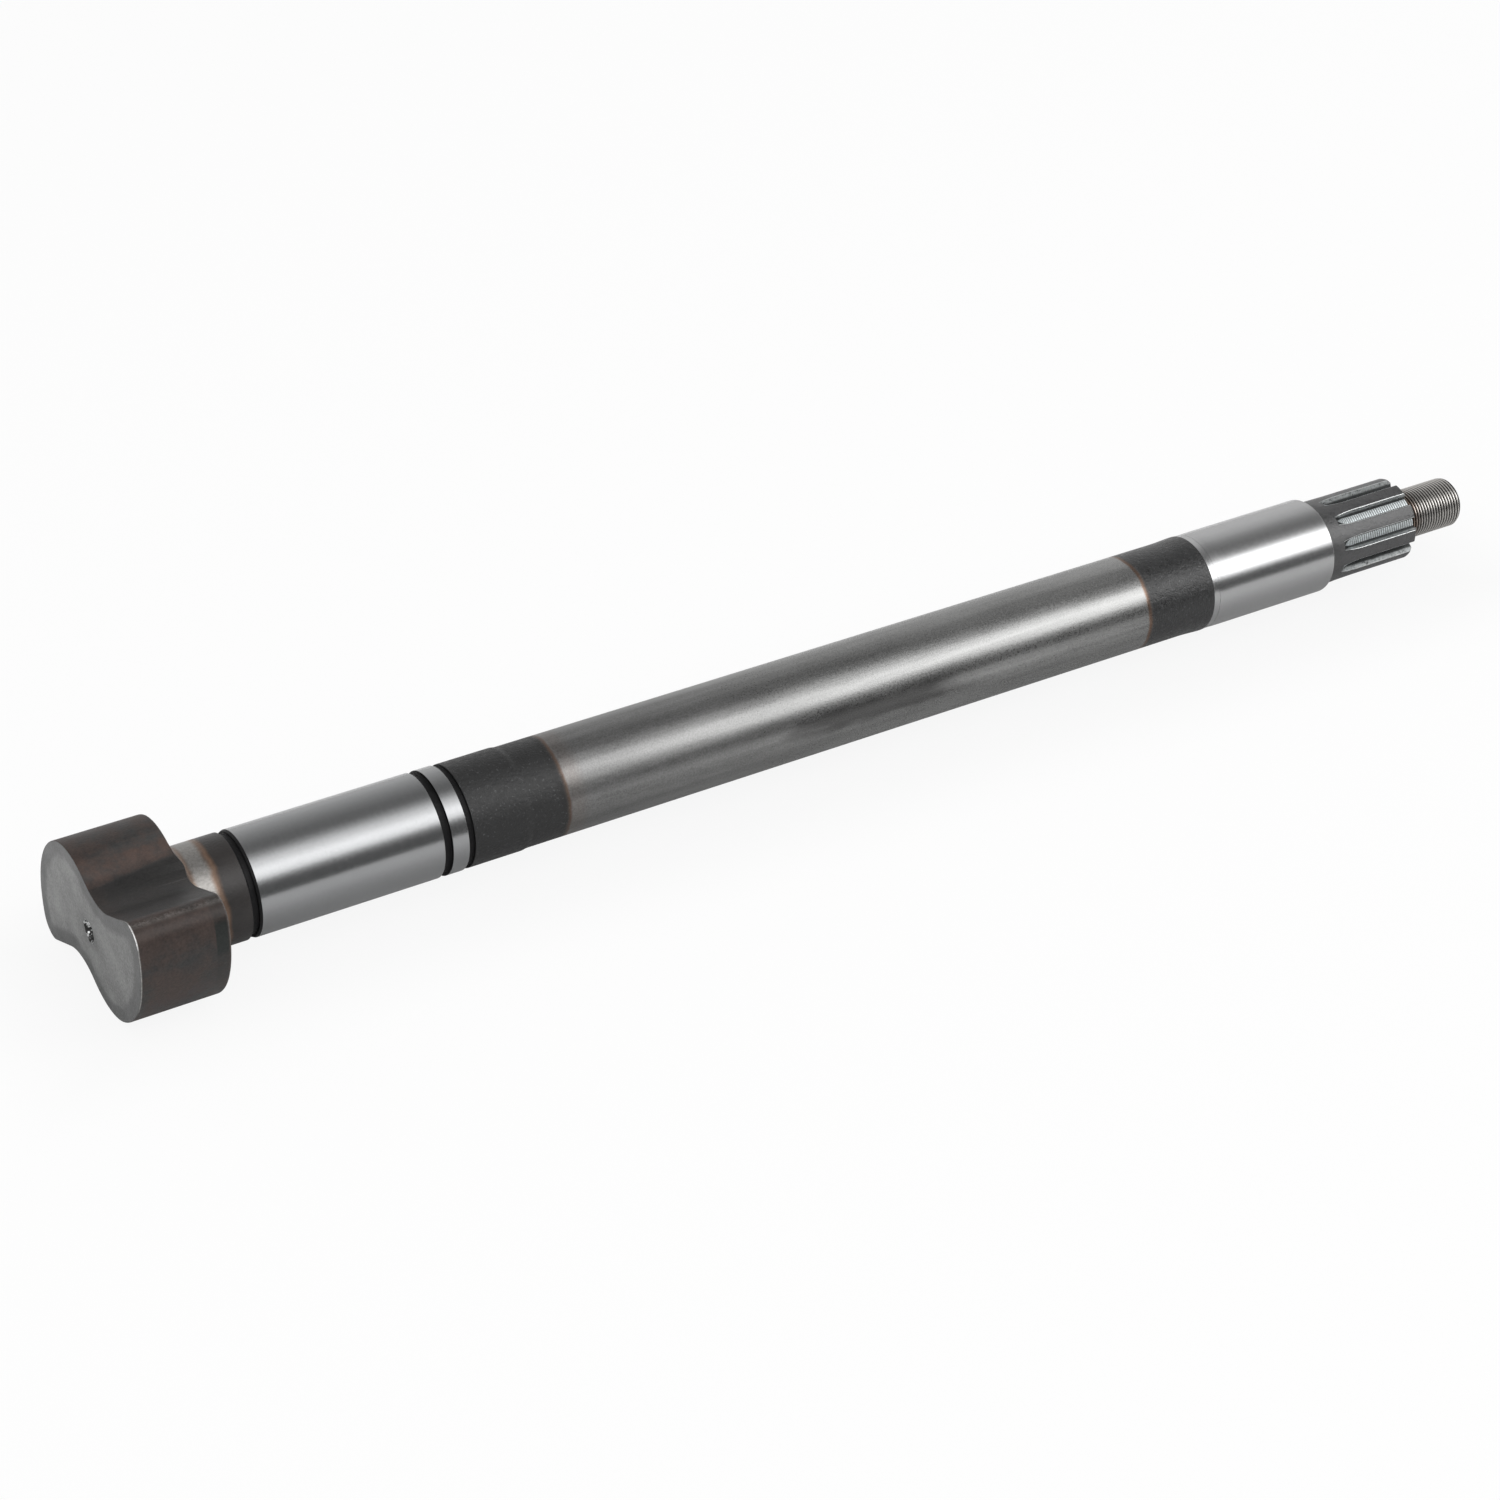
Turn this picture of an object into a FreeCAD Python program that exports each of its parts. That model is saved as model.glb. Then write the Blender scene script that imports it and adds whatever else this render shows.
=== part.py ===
import FreeCAD, Part
import math
import os

import Sketcher

# Brake camshaft, forged and turned in one piece.
# The shaft lies along +X: the S-shaped cam head at the -X end, the threaded stud at the +X end.
# The origin is on the shaft's axis, at the middle of the journal beside the cam head.
# The shaft is turned about its axis so that both cam lobes touch one level plane below it.

# Driving dimensions in millimetres, angles in degrees
SIZES = {
    # Cam head: two equal lobes, each the other one turned by half a turn
    "cam_width": 34.6,
    "cam_edge_break": 0.4,
    "heel_radius": 28.9,
    "heel_centre_across": 14.0,
    "heel_centre_down": 1.2,
    "heel_end_angle": 64.0,
    "toe_radius": 46.4,
    "toe_end_angle": -5.0,
    "tip_radius": 7.5,
    "tip_end_angle": -111.4,
    "pocket_radius": 24.5,
    # Neck between the cam head and the first groove, with a fillet under the head
    "neck_diameter": 41.9,
    "neck_length": 20.9,
    "neck_fillet": 3.0,
    # Journal beside the cam head, with a seal groove at each end
    "cam_journal_diameter": 42.0,
    "cam_journal_length": 74.8,
    "journal_lead_length": 1.0,
    "journal_lead_diameter": 41.0,
    "neck_seal_groove_width": 2.8,
    "shank_seal_groove_width": 3.4,
    "seal_groove_depth": 1.6,
    # Collar and the groove for its retaining ring
    "collar_length": 6.8,
    "ring_groove_width": 2.6,
    "ring_groove_depth": 1.3,
    # Black shoulder beside the collar, then the plain shank
    "shoulder_diameter": 41.66,
    "shoulder_length": 23.0,
    "shoulder_step_length": 2.0,
    "shank_diameter": 40.9,
    "shank_length": 316.3,
    # Swell and grinding relief before the journal beside the spline
    "swell_length": 8.6,
    "swell_land_length": 1.2,
    "swell_diameter": 41.75,
    "relief_slope_length": 1.3,
    "relief_diameter": 41.2,
    "relief_length": 4.5,
    "end_journal_diameter": 41.56,
    "end_journal_length": 58.6,
    "end_journal_chamfer": 0.8,
    # Spline for the lever, with parallel-sided teeth
    "tooth_count": 10.0,
    "spline_diameter": 36.94,
    "spline_root_diameter": 29.9,
    "spline_length": 48.4,
    "tooth_width": 5.76,
    "spline_end_chamfer": 1.5,
    "full_depth_start": 18.1,
    "cutter_radius": 18.0,
    "tooth_gap_angle": 1.5,
    # Threaded stud, modelled at the thread's outer diameter
    "stud_diameter": 22.0,
    "stud_length": 32.1,
    "stud_chamfer": 1.5,
    # Centre holes that the shaft was turned on
    "cam_centre_diameter": 10.0,
    "cam_centre_pilot_diameter": 4.0,
    "stud_centre_diameter": 8.0,
    "stud_centre_pilot_diameter": 3.2,
    "centre_pilot_depth": 5.0,
}

CENTRE_CONE_HALF_ANGLE = math.radians(30.0)
FULL_TURN = 360.0
CUT_MARGIN = 2.0
TOUCH = 1e-6


class Span:
    """A length kept both as its number and as the expression that gives it from the sheet."""

    def __init__(self, value, text):
        self.value = value
        self.text = text

    def __add__(self, other):
        return Span(self.value + other.value, f"{self.text} + {other.text}")

    def __sub__(self, other):
        return Span(self.value - other.value, f"{self.text} - ({other.text})")

    def __neg__(self):
        return Span(-self.value, f"-({self.text})")

    def half(self):
        return Span(self.value / 2, f"({self.text}) / 2")

    def times(self, factor):
        return Span(self.value * factor, f"({self.text}) * {factor}")


ZERO = Span(0.0, "0")


RIGHT_ANGLE = Span(90.0, "90")
HALF_TURN = Span(180.0, "180")


def size(name):
    return Span(SIZES[name], f"sizes.{name}")


def plain(number):
    return Span(number, str(number))


def make_sheet(doc):
    sheet = doc.addObject("Spreadsheet::Sheet", "sizes")
    for row, (name, value) in enumerate(SIZES.items(), start=1):
        sheet.set(f"A{row}", name)
        sheet.set(f"B{row}", str(value))
        sheet.setAlias(f"B{row}", name)
    doc.recompute()
    return sheet


def origin_plane(body, role):
    for feature in body.Origin.OriginFeatures:
        if feature.Role == role:
            return feature
    raise ValueError(role)


def new_sketch(body, name, role):
    sketch = body.newObject("Sketcher::SketchObject", name)
    sketch.AttachmentSupport = [(origin_plane(body, role), "")]
    sketch.MapMode = "FlatFace"
    return sketch


def bind(sketch, kind, *where, span):
    index = sketch.addConstraint(Sketcher.Constraint(kind, *where, span.value))
    sketch.setExpression(f"Constraints[{index}]", span.text)


def end_meeting(sketch, index, spot):
    """Which end of a sketch line or arc lies at a place: 1 for its start, 2 for its end."""
    gaps = [sketch.getPoint(index, end).distanceToPoint(spot) for end in (1, 2)]
    return 1 + gaps.index(min(gaps))


def quarter_arc(first, last, radius):
    """A hollow quarter circle between two corners, its centre level with the first one."""
    centre = FreeCAD.Vector(last.x, first.y, 0)
    middle = (first - centre) + (last - centre)
    middle.normalize()
    return Part.Arc(first, centre + middle * radius.value, last)


def section_sketch(body, name, corners, hollow=None):
    """Closed section in the plane through the axis: corners are (along the axis, radius).

    hollow gives the radius of a quarter circle that stands in for the side after a corner.
    """
    sketch = new_sketch(body, name, "XY_Plane")
    hollow = hollow or {}
    count = len(corners)
    spots = [FreeCAD.Vector(along.value, radius.value, 0) for along, radius in corners]
    for index in range(count):
        ends = (spots[index], spots[(index + 1) % count])
        if index in hollow:
            sketch.addGeometry(quarter_arc(*ends, hollow[index]), False)
        else:
            sketch.addGeometry(Part.LineSegment(*ends), False)
    for index, (along, radius) in enumerate(corners):
        before = (index - 1) % count
        here = end_meeting(sketch, index, spots[index])
        there = end_meeting(sketch, before, spots[index])
        sketch.addConstraint(Sketcher.Constraint("Coincident", before, there, index, here))
        bind(sketch, "DistanceX", -1, 1, index, here, span=along)
        bind(sketch, "DistanceY", -1, 1, index, here, span=radius)
    for index, radius in hollow.items():
        bind(sketch, "Radius", index, span=radius)
    return sketch


def revolve(body, kind, name, sketch):
    """Turn a section about the shaft's axis, as added metal or as a cut."""
    feature = body.newObject(f"PartDesign::{kind}", name)
    feature.Profile = sketch
    feature.ReferenceAxis = (sketch, ["H_Axis"])
    feature.Angle = FULL_TURN
    return feature


def stations():
    """Places along the axis, worked out outwards from the middle of the cam journal."""
    spot = {}
    spot["cam_journal_end"] = size("cam_journal_length").half()
    spot["cam_journal_start"] = -spot["cam_journal_end"]
    spot["lead_start"] = spot["cam_journal_start"] - size("journal_lead_length")
    spot["neck_end"] = spot["lead_start"] - size("neck_seal_groove_width")
    spot["cam_back"] = spot["neck_end"] - size("neck_length")
    spot["cam_face"] = spot["cam_back"] - size("cam_width")
    spot["collar_start"] = spot["cam_journal_end"] + size("shank_seal_groove_width")
    spot["collar_end"] = spot["collar_start"] + size("collar_length")
    spot["shoulder_start"] = spot["collar_end"] + size("ring_groove_width")
    spot["shoulder_end"] = spot["shoulder_start"] + size("shoulder_length")
    spot["shank_start"] = spot["shoulder_end"] + size("shoulder_step_length")
    spot["shank_end"] = spot["shank_start"] + size("shank_length")
    spot["swell_top"] = spot["shank_end"] + size("swell_length")
    spot["swell_end"] = spot["swell_top"] + size("swell_land_length")
    spot["relief_start"] = spot["swell_end"] + size("relief_slope_length")
    spot["relief_end"] = spot["relief_start"] + size("relief_length")
    spot["end_journal_start"] = spot["relief_end"] + size("relief_slope_length")
    spot["end_journal_end"] = spot["end_journal_start"] + size("end_journal_length")
    spot["spline_end"] = spot["end_journal_end"] + size("spline_length")
    spot["stud_end"] = spot["spline_end"] + size("stud_length")
    return spot


def add_shaft(body, spot):
    """Everything that was turned, from inside the cam head to the end of the stud."""
    neck = size("neck_diameter").half()
    lead = size("journal_lead_diameter").half()
    journal = size("cam_journal_diameter").half()
    shoulder = size("shoulder_diameter").half()
    shank = size("shank_diameter").half()
    swell = size("swell_diameter").half()
    relief = size("relief_diameter").half()
    end_journal = size("end_journal_diameter").half()
    spline = size("spline_diameter").half()
    stud = size("stud_diameter").half()
    journal_break = size("end_journal_chamfer")
    spline_break = size("spline_end_chamfer")
    stud_break = size("stud_chamfer")
    inside_cam = spot["cam_back"] - size("cam_width").half()
    corners = [
        (inside_cam, ZERO),
        (inside_cam, neck),
        (spot["neck_end"], neck),
        (spot["neck_end"], lead),
        (spot["lead_start"], lead),
        (spot["cam_journal_start"], journal),
        (spot["collar_end"], journal),
        (spot["collar_end"], shoulder),
        (spot["shoulder_end"], shoulder),
        (spot["shank_start"], shank),
        (spot["shank_end"], shank),
        (spot["swell_top"], swell),
        (spot["swell_end"], swell),
        (spot["relief_start"], relief),
        (spot["relief_end"], relief),
        (spot["end_journal_start"], end_journal),
        (spot["end_journal_end"] - journal_break, end_journal),
        (spot["end_journal_end"], end_journal - journal_break),
        (spot["end_journal_end"], spline),
        (spot["spline_end"] - spline_break, spline),
        (spot["spline_end"], spline - spline_break),
        (spot["spline_end"], stud),
        (spot["stud_end"] - stud_break, stud),
        (spot["stud_end"], stud - stud_break),
        (spot["stud_end"], ZERO),
    ]
    sketch = section_sketch(body, "shaft_section", corners)
    revolve(body, "Revolution", "shaft", sketch)


def towards(angle):
    turn = math.radians(angle)
    return FreeCAD.Vector(math.cos(turn), math.sin(turn), 0)


def half_cam_outline():
    """Arcs and a line of one lobe, from the opposite pocket round the lobe into its own pocket.

    Each lobe rises round a heel arc and a flatter toe arc to a rounded tip, runs straight back
    under the tip, and turns in the pocket where the brake shoe's roller sits when released.
    """
    heel, toe = SIZES["heel_radius"], SIZES["toe_radius"]
    tip, pocket = SIZES["tip_radius"], SIZES["pocket_radius"]
    heel_centre = FreeCAD.Vector(SIZES["heel_centre_across"], -SIZES["heel_centre_down"], 0)
    heel_to_toe = towards(SIZES["heel_end_angle"])
    toe_to_tip = towards(SIZES["toe_end_angle"])
    outward = towards(SIZES["tip_end_angle"])
    toe_centre = heel_centre + heel_to_toe * (heel - toe)
    tip_centre = toe_centre + toe_to_tip * (toe - tip)
    line_start = tip_centre + outward * tip

    # The pocket arc touches the straight run and the heel arc of the other lobe
    along = FreeCAD.Vector(outward.y, -outward.x, 0)
    base = line_start + outward * pocket + heel_centre
    reach = base.dot(along)
    travel = -reach - math.sqrt(reach**2 - base.dot(base) + (pocket + heel) ** 2)
    pocket_centre = line_start + outward * pocket + along * travel
    line_end = pocket_centre - outward * pocket
    to_other_heel = (heel_centre + pocket_centre) * (-1 / (pocket + heel))
    pocket_end = pocket_centre + to_other_heel * pocket
    start = pocket_end * -1

    def arc(centre, radius, first, last):
        middle = (first - centre) + (last - centre)
        middle.normalize()
        return Part.Arc(first, centre + middle * radius, last)

    heel_end = heel_centre + heel_to_toe * heel
    toe_end = toe_centre + toe_to_tip * toe
    return [
        arc(heel_centre, heel, start, heel_end),
        arc(toe_centre, toe, heel_end, toe_end),
        arc(tip_centre, tip, toe_end, line_start),
        Part.LineSegment(line_start, line_end),
        arc(pocket_centre, pocket, line_end, pocket_end),
    ]


def constrain_lobe(sketch, first, side, corners):
    """Fix one lobe's arcs from the sheet: side is +1 for the lobe on +Y, -1 for the other."""
    heel, toe, tip, run, pocket = range(first, first + 5)
    names = {heel: "heel_radius", toe: "toe_radius", tip: "tip_radius", pocket: "pocket_radius"}
    for index, name in names.items():
        bind(sketch, "Radius", index, span=size(name))
    bind(sketch, "DistanceX", -1, 1, heel, 3, span=size("heel_centre_across").times(side))
    bind(sketch, "DistanceY", -1, 1, heel, 3, span=size("heel_centre_down").times(-side))

    # Spokes from the arc centres carry the angles at which one arc hands over to the next
    for arc, corner, angle in ((heel, 1, "heel_end_angle"), (toe, 2, "toe_end_angle")):
        centre = sketch.getPoint(arc, 3)
        spoke = sketch.addGeometry(Part.LineSegment(centre, corners[corner]), True)
        end = end_meeting(sketch, arc, corners[corner])
        sketch.addConstraint(Sketcher.Constraint("Coincident", spoke, 1, arc, 3))
        sketch.addConstraint(Sketcher.Constraint("Coincident", spoke, 2, arc, end))
        bind_angle(sketch, spoke, size(angle), side)
    bind_angle(sketch, run, size("tip_end_angle") - RIGHT_ANGLE, side)


def bind_angle(sketch, line, span, side):
    """Give a line its direction, turned by half a turn on the lobe that lies on -Y."""
    degrees = span if side > 0 else span + HALF_TURN
    index = sketch.addConstraint(
        Sketcher.Constraint("Angle", line, math.radians(degrees.value))
    )
    sketch.setExpression(f"Constraints[{index}]", f"({degrees.text}) * 1 deg")


def add_cam_head(body, spot):
    """The cam outline, drawn in the plane across the axis and extruded over the cam's width."""
    half = half_cam_outline()
    half_turn = FreeCAD.Placement(
        FreeCAD.Vector(), FreeCAD.Rotation(FreeCAD.Vector(0, 0, 1), HALF_TURN.value)
    )
    pieces = [piece.copy() for piece in half + half]
    for piece in pieces[len(half) :]:
        piece.transform(half_turn.toMatrix())
    corners = [end_on(piece, 0) for piece in pieces]

    sketch = new_sketch(body, "cam_outline", "YZ_Plane")
    sketch.setExpression("AttachmentOffset.Base.z", spot["cam_face"].text)
    for piece in pieces:
        sketch.addGeometry(piece, False)
    for index in range(len(pieces)):
        after = (index + 1) % len(pieces)
        here = end_meeting(sketch, index, corners[after])
        there = end_meeting(sketch, after, corners[after])
        sketch.addConstraint(Sketcher.Constraint("Tangent", index, here, after, there))
    constrain_lobe(sketch, 0, 1, corners)
    constrain_lobe(sketch, len(half), -1, corners[len(half) :])

    head = body.newObject("PartDesign::Pad", "cam_head")
    head.Profile = sketch
    head.setExpression("Length", (size("cam_width") + size("neck_fillet")).text)
    return head


def turn_head_back(body, spot):
    """The back of the head is turned off square, down to a fillet that runs onto the neck."""
    fillet, neck = size("neck_fillet"), size("neck_diameter").half()
    beyond = size("heel_centre_across") + size("heel_radius") + size("toe_radius")
    fillet_end = spot["cam_back"] + fillet
    past_end = fillet_end + plain(CUT_MARGIN)
    corners = [
        (spot["cam_back"], beyond),
        (spot["cam_back"], neck + fillet),
        (fillet_end, neck),
        (past_end, neck),
        (past_end, beyond),
    ]
    sketch = section_sketch(body, "head_back_section", corners, {1: fillet})
    return revolve(body, "Groove", "head_back", sketch)


def end_on(piece, which):
    return [piece.StartPoint, piece.EndPoint][which]


def break_face_edge(body, before, spot):
    """A small break along the outline where the cam's face meets its flanks."""
    names = []
    for number, edge in enumerate(before.Shape.Edges, start=1):
        box = edge.BoundBox
        if max(abs(box.XMin - spot["cam_face"].value), box.XLength) < TOUCH:
            names.append(f"Edge{number}")
    chamfer = body.newObject("PartDesign::Chamfer", "face_edge_break")
    chamfer.Base = (before, names)
    chamfer.setExpression("Size", size("cam_edge_break").text)
    return chamfer


def ring_groove(body, name, start, width, land, depth):
    """A square groove round the shaft, as wide as given, its floor below the land's radius."""
    floor = land - depth
    above = land + plain(CUT_MARGIN)
    corners = [(start, floor), (start + width, floor), (start + width, above), (start, above)]
    return revolve(body, "Groove", name, section_sketch(body, f"{name}_section", corners))


def centre_hole(body, name, face, inwards, mouth, pilot):
    """The tapered centre that the shaft was turned on, with its pilot drilling."""
    cone = (mouth - pilot).times(inwards / math.tan(CENTRE_CONE_HALF_ANGLE))
    drilling = size("centre_pilot_depth").times(inwards)
    corners = [
        (face, ZERO),
        (face, mouth),
        (face + cone, pilot),
        (face + cone + drilling, pilot),
        (face + cone + drilling, ZERO),
    ]
    return revolve(body, "Groove", name, section_sketch(body, f"{name}_section", corners))


def tooth_gap_sketch(body, spot):
    """Cutter form between two teeth, with flanks parallel to the teeth's own centre lines."""
    half_pitch = math.pi / SIZES["tooth_count"]
    half_tooth = size("tooth_width").half()
    root = size("spline_root_diameter").half()
    above = size("spline_diameter").half() + plain(CUT_MARGIN)
    out = FreeCAD.Vector(math.sin(half_pitch), math.cos(half_pitch), 0)
    flank = FreeCAD.Vector(-out.y, out.x, 0) * half_tooth.value
    low = flank + out * math.sqrt(root.value**2 - half_tooth.value**2)
    high = flank + out * ((above.value - flank.y) / out.y)
    left_low, left_high = FreeCAD.Vector(-low.x, low.y, 0), FreeCAD.Vector(-high.x, high.y, 0)
    floor_middle = FreeCAD.Vector(0, root.value, 0)

    sketch = new_sketch(body, "tooth_gap", "YZ_Plane")
    axis = FreeCAD.Vector(0, 0, 1)
    turn = FreeCAD.Rotation(axis, SIZES["tooth_gap_angle"])
    sketch.AttachmentOffset = FreeCAD.Placement(FreeCAD.Vector(), turn)
    full_depth = spot["end_journal_end"] + size("full_depth_start")
    sketch.setExpression("AttachmentOffset.Base.z", full_depth.text)
    sketch.setExpression("AttachmentOffset.Rotation.Angle", size("tooth_gap_angle").text)
    floor = sketch.addGeometry(Part.Arc(left_low, floor_middle, low), False)
    right = sketch.addGeometry(Part.LineSegment(low, high), False)
    top = sketch.addGeometry(Part.LineSegment(high, left_high), False)
    left = sketch.addGeometry(Part.LineSegment(left_high, left_low), False)
    sketch.addConstraint(Sketcher.Constraint("Coincident", floor, 3, -1, 1))
    for first, second, spot_met in ((floor, right, low), (left, floor, left_low)):
        here = end_meeting(sketch, first, spot_met)
        there = end_meeting(sketch, second, spot_met)
        sketch.addConstraint(Sketcher.Constraint("Coincident", first, here, second, there))
    sketch.addConstraint(Sketcher.Constraint("Coincident", right, 2, top, 1))
    sketch.addConstraint(Sketcher.Constraint("Coincident", top, 2, left, 1))
    sketch.addConstraint(Sketcher.Constraint("Horizontal", top))
    bind(sketch, "Radius", floor, span=root)
    bind(sketch, "DistanceY", -1, 1, top, 1, span=above)
    for line in (right, left):
        bind(sketch, "Distance", -1, 1, line, span=half_tooth)
    lean = Span(math.degrees(half_pitch), "180 / sizes.tooth_count")
    bind_angle(sketch, right, RIGHT_ANGLE - lean, 1)
    bind_angle(sketch, left, RIGHT_ANGLE + lean + HALF_TURN, 1)

    # The arbor that the milling cutter turned on, for its run-out into the solid shaft
    arbor = root + size("cutter_radius")
    ends = [FreeCAD.Vector(across, arbor.value, 0) for across in (-root.value, root.value)]
    line = sketch.addGeometry(Part.LineSegment(*ends), True)
    for end, across in ((1, -root), (2, root)):
        bind(sketch, "DistanceX", -1, 1, line, end, span=across)
        bind(sketch, "DistanceY", -1, 1, line, end, span=arbor)
    return sketch


def mill_spline(body, spot):
    """One gap milled to full depth with the cutter's run-out, repeated round the shaft."""
    sketch = tooth_gap_sketch(body, spot)
    run = body.newObject("PartDesign::Pocket", "gap_run")
    run.Profile = sketch
    run.Reversed = True
    past_end = size("spline_length") - size("full_depth_start") + plain(CUT_MARGIN)
    run.setExpression("Length", past_end.text)
    run_out = body.newObject("PartDesign::Groove", "gap_run_out")
    run_out.Profile = sketch
    run_out.ReferenceAxis = (sketch, ["Axis0"])
    run_out.Angle = FULL_TURN
    pattern = body.newObject("PartDesign::PolarPattern", "spline")
    pattern.Originals = [run, run_out]
    pattern.Axis = (origin_plane(body, "X_Axis"), [""])
    pattern.Angle = FULL_TURN
    body.Tip = pattern
    pattern.setExpression("Occurrences", size("tooth_count").text)
    return run, run_out, pattern


def check_cuts(features):
    """Each cut has to take metal away from the feature before it."""
    for feature in features:
        left = feature.BaseFeature.Shape.Volume - feature.Shape.Volume
        if left <= TOUCH:
            raise ValueError(f"{feature.Name} cuts nothing")


def check_model(doc, body):
    for item in doc.Objects:
        if "Invalid" in item.State or "Error" in item.State:
            raise ValueError(f"{item.Name}: {item.State}")
    if body.Shape.isNull() or not body.Shape.isValid() or len(body.Shape.Solids) != 1:
        raise ValueError(f"{body.Label} is not one sound solid")


def main():
    doc = FreeCAD.newDocument("camshaft")
    make_sheet(doc)
    spot = stations()
    body = doc.addObject("PartDesign::Body", "camshaft")
    body.Label = "camshaft"

    add_cam_head(body, spot)
    turned = turn_head_back(body, spot)
    doc.recompute()
    edge_break = break_face_edge(body, turned, spot)
    add_shaft(body, spot)

    journal = size("cam_journal_diameter").half()
    seal_depth, ring_depth = size("seal_groove_depth"), size("ring_groove_depth")
    neck_seal, shank_seal = size("neck_seal_groove_width"), size("shank_seal_groove_width")
    ring = size("ring_groove_width")
    cam_mouth, cam_pilot = size("cam_centre_diameter"), size("cam_centre_pilot_diameter")
    stud_mouth, stud_pilot = size("stud_centre_diameter"), size("stud_centre_pilot_diameter")
    cuts = [
        turned,
        edge_break,
        ring_groove(body, "neck_seal_groove", spot["neck_end"], neck_seal, journal, seal_depth),
        ring_groove(
            body, "shank_seal_groove", spot["cam_journal_end"], shank_seal, journal, seal_depth
        ),
        ring_groove(body, "ring_groove", spot["collar_end"], ring, journal, ring_depth),
        centre_hole(body, "cam_centre", spot["cam_face"], 1, cam_mouth.half(), cam_pilot.half()),
        centre_hole(
            body, "stud_centre", spot["stud_end"], -1, stud_mouth.half(), stud_pilot.half()
        ),
    ]
    doc.recompute()
    cuts.extend(mill_spline(body, spot))
    doc.recompute()
    check_cuts(cuts)
    check_model(doc, body)

    os.makedirs("parts", exist_ok=True)
    body.Shape.exportStep("parts/camshaft.step")


main()
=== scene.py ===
import logging
import math
from abc import ABC, abstractmethod
from dataclasses import dataclass, field
from enum import Enum
from typing import Any

import bmesh
import bpy
import numpy as np
from mathutils import Matrix, Vector


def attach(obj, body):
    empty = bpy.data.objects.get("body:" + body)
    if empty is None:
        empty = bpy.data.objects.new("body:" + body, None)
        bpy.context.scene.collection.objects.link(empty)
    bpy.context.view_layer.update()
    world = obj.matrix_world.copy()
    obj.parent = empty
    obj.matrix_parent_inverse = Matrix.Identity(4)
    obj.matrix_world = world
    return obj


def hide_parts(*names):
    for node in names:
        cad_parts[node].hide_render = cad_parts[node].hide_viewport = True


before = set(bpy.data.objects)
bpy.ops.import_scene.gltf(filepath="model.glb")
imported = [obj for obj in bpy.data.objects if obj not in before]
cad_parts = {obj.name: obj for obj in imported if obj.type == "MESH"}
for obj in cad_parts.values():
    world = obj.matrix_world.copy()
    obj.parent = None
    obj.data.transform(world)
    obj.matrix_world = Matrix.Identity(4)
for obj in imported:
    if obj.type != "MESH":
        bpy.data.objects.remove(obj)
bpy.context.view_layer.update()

logging.basicConfig(level=logging.INFO, format="%(message)s")
LOG = logging.getLogger("camshaft")

MM = 0.001
FULL_TURN = 2 * math.pi
NOISE_MEAN = 0.5
CENTRE_SLOPE = math.tan(math.radians(30))
Span = tuple[float, float]
Triple = tuple[float, float, float]
Colour = Triple
Sockets = dict[str | int, Any]


class Zone(Enum):
    """The stretches of the shaft's skin that carry different finishes."""

    FACE = 0
    FLANK = 1
    HEAD_BACK = 2
    NECK = 3
    GROOVE = 4
    JOURNAL = 5
    SHANK = 6
    END_JOURNAL = 7
    SPLINE = 8
    GAP = 9
    THREAD = 10
    CENTRE = 11
    STUD_END = 12


# Shader expressions


class Wire:
    """A value socket of a shader; arithmetic on it adds Math nodes."""

    def __init__(self, graph: "Graph", socket: bpy.types.NodeSocket) -> None:
        """Keep the socket and the graph that new nodes go into.

        Args:
            graph: The graph the socket belongs to.
            socket: The output socket that carries the value.
        """
        self.graph = graph
        self.socket = socket

    def __add__(self, other: "Wire | float") -> "Wire":
        """Sum of two values."""
        return self.graph.math("ADD", self, other)

    def __radd__(self, other: float) -> "Wire":
        """Sum with a number on the left."""
        return self.graph.math("ADD", other, self)

    def __sub__(self, other: "Wire | float") -> "Wire":
        """Difference of two values."""
        return self.graph.math("SUBTRACT", self, other)

    def __rsub__(self, other: float) -> "Wire":
        """Difference with a number on the left."""
        return self.graph.math("SUBTRACT", other, self)

    def __mul__(self, other: "Wire | float") -> "Wire":
        """Product of two values."""
        return self.graph.math("MULTIPLY", self, other)

    def __rmul__(self, other: float) -> "Wire":
        """Product with a number on the left."""
        return self.graph.math("MULTIPLY", other, self)

    def __neg__(self) -> "Wire":
        """The value with its sign turned."""
        return self * -1.0

    def sway(self) -> "Wire":
        """Noise less its mean, so that it goes either way."""
        return self - NOISE_MEAN

    def size(self) -> "Wire":
        """The value without its sign."""
        return self.graph.math("ABSOLUTE", self)

    def sign(self) -> "Wire":
        """1 above zero and -1 below."""
        return self.graph.math("SIGN", self)

    def wrap(self, period: float) -> "Wire":
        """The value brought between 0 and a period."""
        return self.graph.math("FLOORED_MODULO", self, period)

    def clamp(self) -> "Wire":
        """The value held between 0 and 1."""
        return Wire(self.graph, self.graph.node("ShaderNodeClamp", {}, {"Value": self}).outputs[0])

    def rise(self, low: float, high: float) -> "Wire":
        """Smooth step that goes from 0 at low to 1 at high.

        Args:
            low: Value at which the step starts.
            high: Value at which the step ends.

        Returns:
            The step's value, between 0 and 1.
        """
        node = self.graph.node(
            "ShaderNodeMapRange",
            {"interpolation_type": "SMOOTHSTEP"},
            {"Value": self, "From Min": low, "From Max": high, "To Min": 0.0, "To Max": 1.0},
        )
        return Wire(self.graph, node.outputs[0])

    def band(self, low: float, high: float, soft: float) -> "Wire":
        """Mask that is 1 between two values and fades out on both sides.

        Args:
            low: Lower edge of the band.
            high: Upper edge of the band.
            soft: Width over which each edge fades.

        Returns:
            The mask's value, between 0 and 1.
        """
        half = soft / 2
        return self.rise(low - half, low + half) * (1 - self.rise(high - half, high + half))


Tint = Wire | bpy.types.NodeSocket | Colour


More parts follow.
